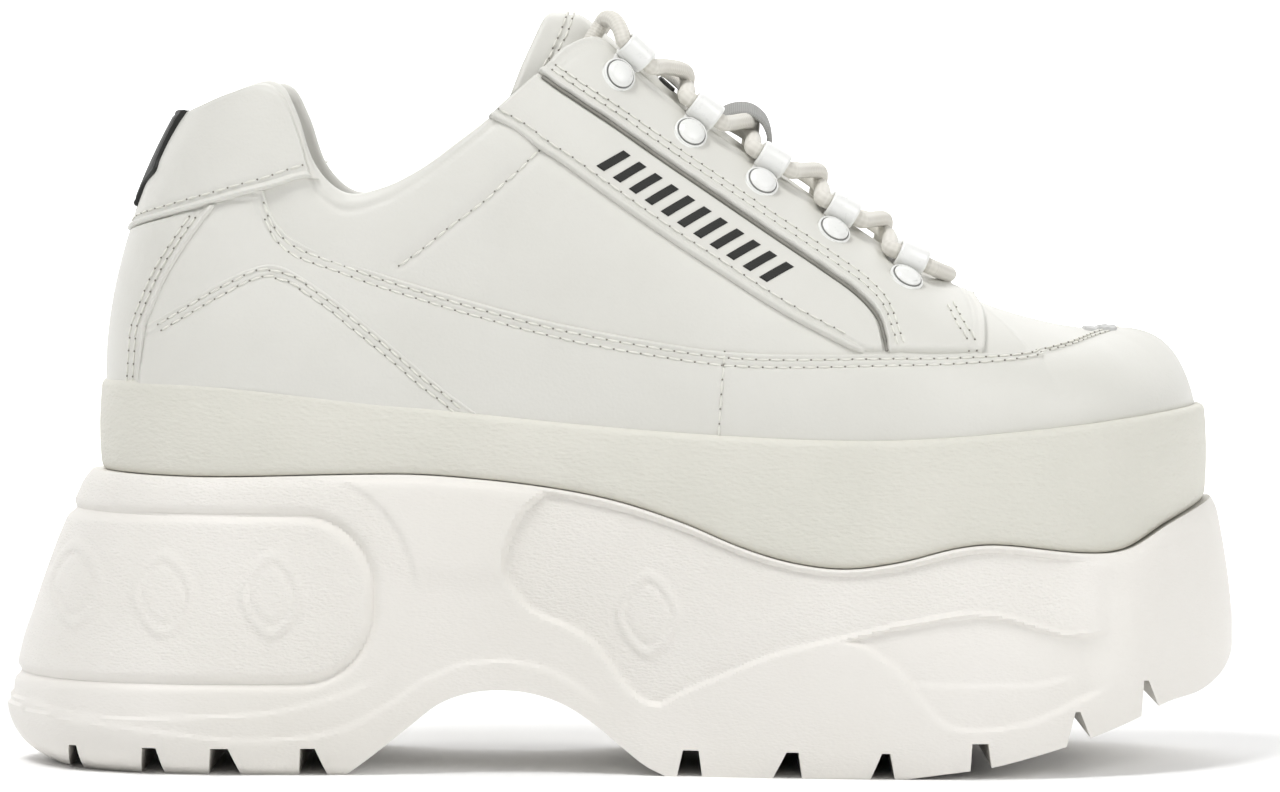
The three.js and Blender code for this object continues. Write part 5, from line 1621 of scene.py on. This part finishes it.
def orient(points, faces):  # faces turned so that the closed body they make points outwards
    a, b, c, d = (points[faces[:, k]] for k in range(4))
    volume = np.einsum("ij,ij->", a, np.cross(b, c)) + np.einsum("ij,ij->", a, np.cross(c, d))
    return faces if volume > 0 else faces[:, ::-1]


keeperSet = {"thick": 1.2, "sag": 0.25, "half": 4.5, "slope": 1.3}
keeperRun = [(-7.5, -5.0), (-6.4, -2.4), (-4.8, 0.0), (-2.4, 1.8), (0, 2.25), (2.4, 1.8), (5.0, 0.0),
             (6.8, -2.4), (8.0, -5.5)]


def makeKeeper():
    crossing = strand(loops[outer][1], loops[inner][2], laceSet["crossRise"])[4]
    run = evenly(keeperRun, 60)
    along = unit(np.gradient(run, axis=0))
    square = np.stack([-along[:, 1], along[:, 0]], 1)
    v = np.linspace(-1, 1, 15)
    layers = []
    for depth, sag in ((keeperSet["thick"], keeperSet["sag"]), (0.0, 0.0)):
        p = run + square * depth
        x = crossing[0] + 0.8 * p[:, 0] + 0.6 * p[:, 1]
        z = crossing[2] - 0.6 * p[:, 0] + 0.8 * p[:, 1]
        y = crossing[1] + v * keeperSet["half"]
        drop = sag * v**2 - keeperSet["slope"] * v
        layers.append(np.stack(np.broadcast_arrays(x[:, None], y, z[:, None] - drop), -1))
    points, faces = closedSheet(*layers)
    uv = np.stack(np.broadcast_arrays(runLength(run)[:, None], v * 0.5), -1).reshape(-1, 2)
    piece = newPiece("keeper_tape_strip", points, faces, [tapeCloth], np.concatenate([uv, uv]))
    finishPiece(piece, "keeper_tape", "lace_keeper")


makeLoops()
makeKeeper()
print("loops and keeper made")

# small plain plates on the tongue and the toe
plateSet = {"steps": 25, "thick": 0.7, "corner": 0.12, "rim": 0.86, "rimWidth": 0.14, "away": 30}


def makePlate(name, targets, centre, sizes, direction, material, slot):
    trees = [surfaceTree(bpy.data.objects[target]) for target in targets]
    down = unit(np.array(direction, float))
    across = np.array([0, 1.0, 0])
    along = unit(np.cross(across, down))
    count, away = plateSet["steps"], plateSet["away"]
    steps = np.linspace(-1, 1, count)
    top = np.empty((count, count, 3))
    under = np.empty((count, count, 3))
    for i, p in enumerate(steps):
        for j, q in enumerate(steps):
            shrink = 1 - plateSet["corner"] * (p * p) * (q * q)
            spot = np.array(centre) + along * p * sizes[0] / 2 * shrink + across * q * sizes[1] / 2 * shrink
            start = Vector((spot - down * away) * millimetre)
            hits = [tree.ray_cast(start, Vector(down)) for tree in trees]
            reach = min(hit[3] for hit in hits if hit[0] is not None) / millimetre
            place = spot + down * (reach - away)
            rim = max((max(abs(p), abs(q)) - plateSet["rim"]) / plateSet["rimWidth"], 0)
            rise = plateSet["thick"] * math.sqrt(max(1 - rim**2, 0))
            top[i, j] = place - down * rise
            under[i, j] = place + down * 0.5
    points, faces = closedSheet(top, under)
    finishPiece(newPiece(name, points, faces, [material]), slot)


makePlate("tongue_label", ["tongue_pad"], (10.9, float(axisY(10.9)), 169.5), (5.2, 11.0), (-0.62, 0, -0.78),
          blackPrint, "tongue_leather")
makePlate("toe_badge", ["foxing_panel", "upper_shell"], (119.9, float(axisY(119.9)), 112), (8.8, 10.0),
          (-0.15, 0, -1), badgeGrey, "upper_leather")
print("plates made")

# studio
studio = {"world": 0.34, "wallGlow": 0.7, "aim": (0, 0, 0.08), "halfWidth": 5.0, "wallTop": (2.2, 4.0)}
lamps = {"keyLight": {"place": (-0.5, -0.55, 1.5), "size": 0.6, "power": 14.6},
         "fillLight": {"place": (0.9, -0.8, 0.7), "size": 0.9, "power": 5.6},
         "backLight": {"place": (0.1, 0.9, 1.3), "size": 1.0, "power": 3.5}}


def areaLight(name, place, size, power):
    data = bpy.data.lights.new(name, "AREA")
    data.energy = power
    data.shape = "DISK"
    data.size = size
    lamp = bpy.data.objects.new(name, data)
    bpy.context.scene.collection.objects.link(lamp)
    lamp.location = place
    lamp.rotation_euler = (Vector(studio["aim"]) - Vector(place)).to_track_quat("-Z", "Y").to_euler()


def makeStudio():
    world = bpy.data.worlds.new("studio")
    world.use_nodes = True
    sky = world.node_tree.nodes["Background"].inputs
    sky["Color"].default_value = (1, 1, 1, 1)
    sky["Strength"].default_value = studio["world"]
    bpy.context.scene.world = world
    bpy.context.scene.view_settings.view_transform = "Standard"
    for name, lamp in lamps.items():
        areaLight(name, **lamp)
    sweep = [(-4.0, 0.0), (0.5, 0.0), (1.4, 0.0)]
    sweep += [(1.4 + 0.8 * math.sin(k), 0.8 - 0.8 * math.cos(k)) for k in np.linspace(0.1, math.pi / 2, 14)]
    sweep.append(studio["wallTop"])
    halfWidth = studio["halfWidth"]
    points = np.array([[(x, y, z) for y, z in sweep] for x in (-halfWidth, halfWidth)]) / millimetre
    glow = studioGlow.node_tree.nodes["Principled BSDF"].inputs
    glow["Emission Color"].default_value = (1, 1, 1, 1)
    glow["Emission Strength"].default_value = studio["wallGlow"]
    slots = [0] + [1] * (len(sweep) - 2)
    backdrop = newPiece("backdrop", points, gridFaces(2, len(sweep)), [studioWhite, studioGlow], slots=slots,
                        solid=False)


makeStudio()
print("scene finished")
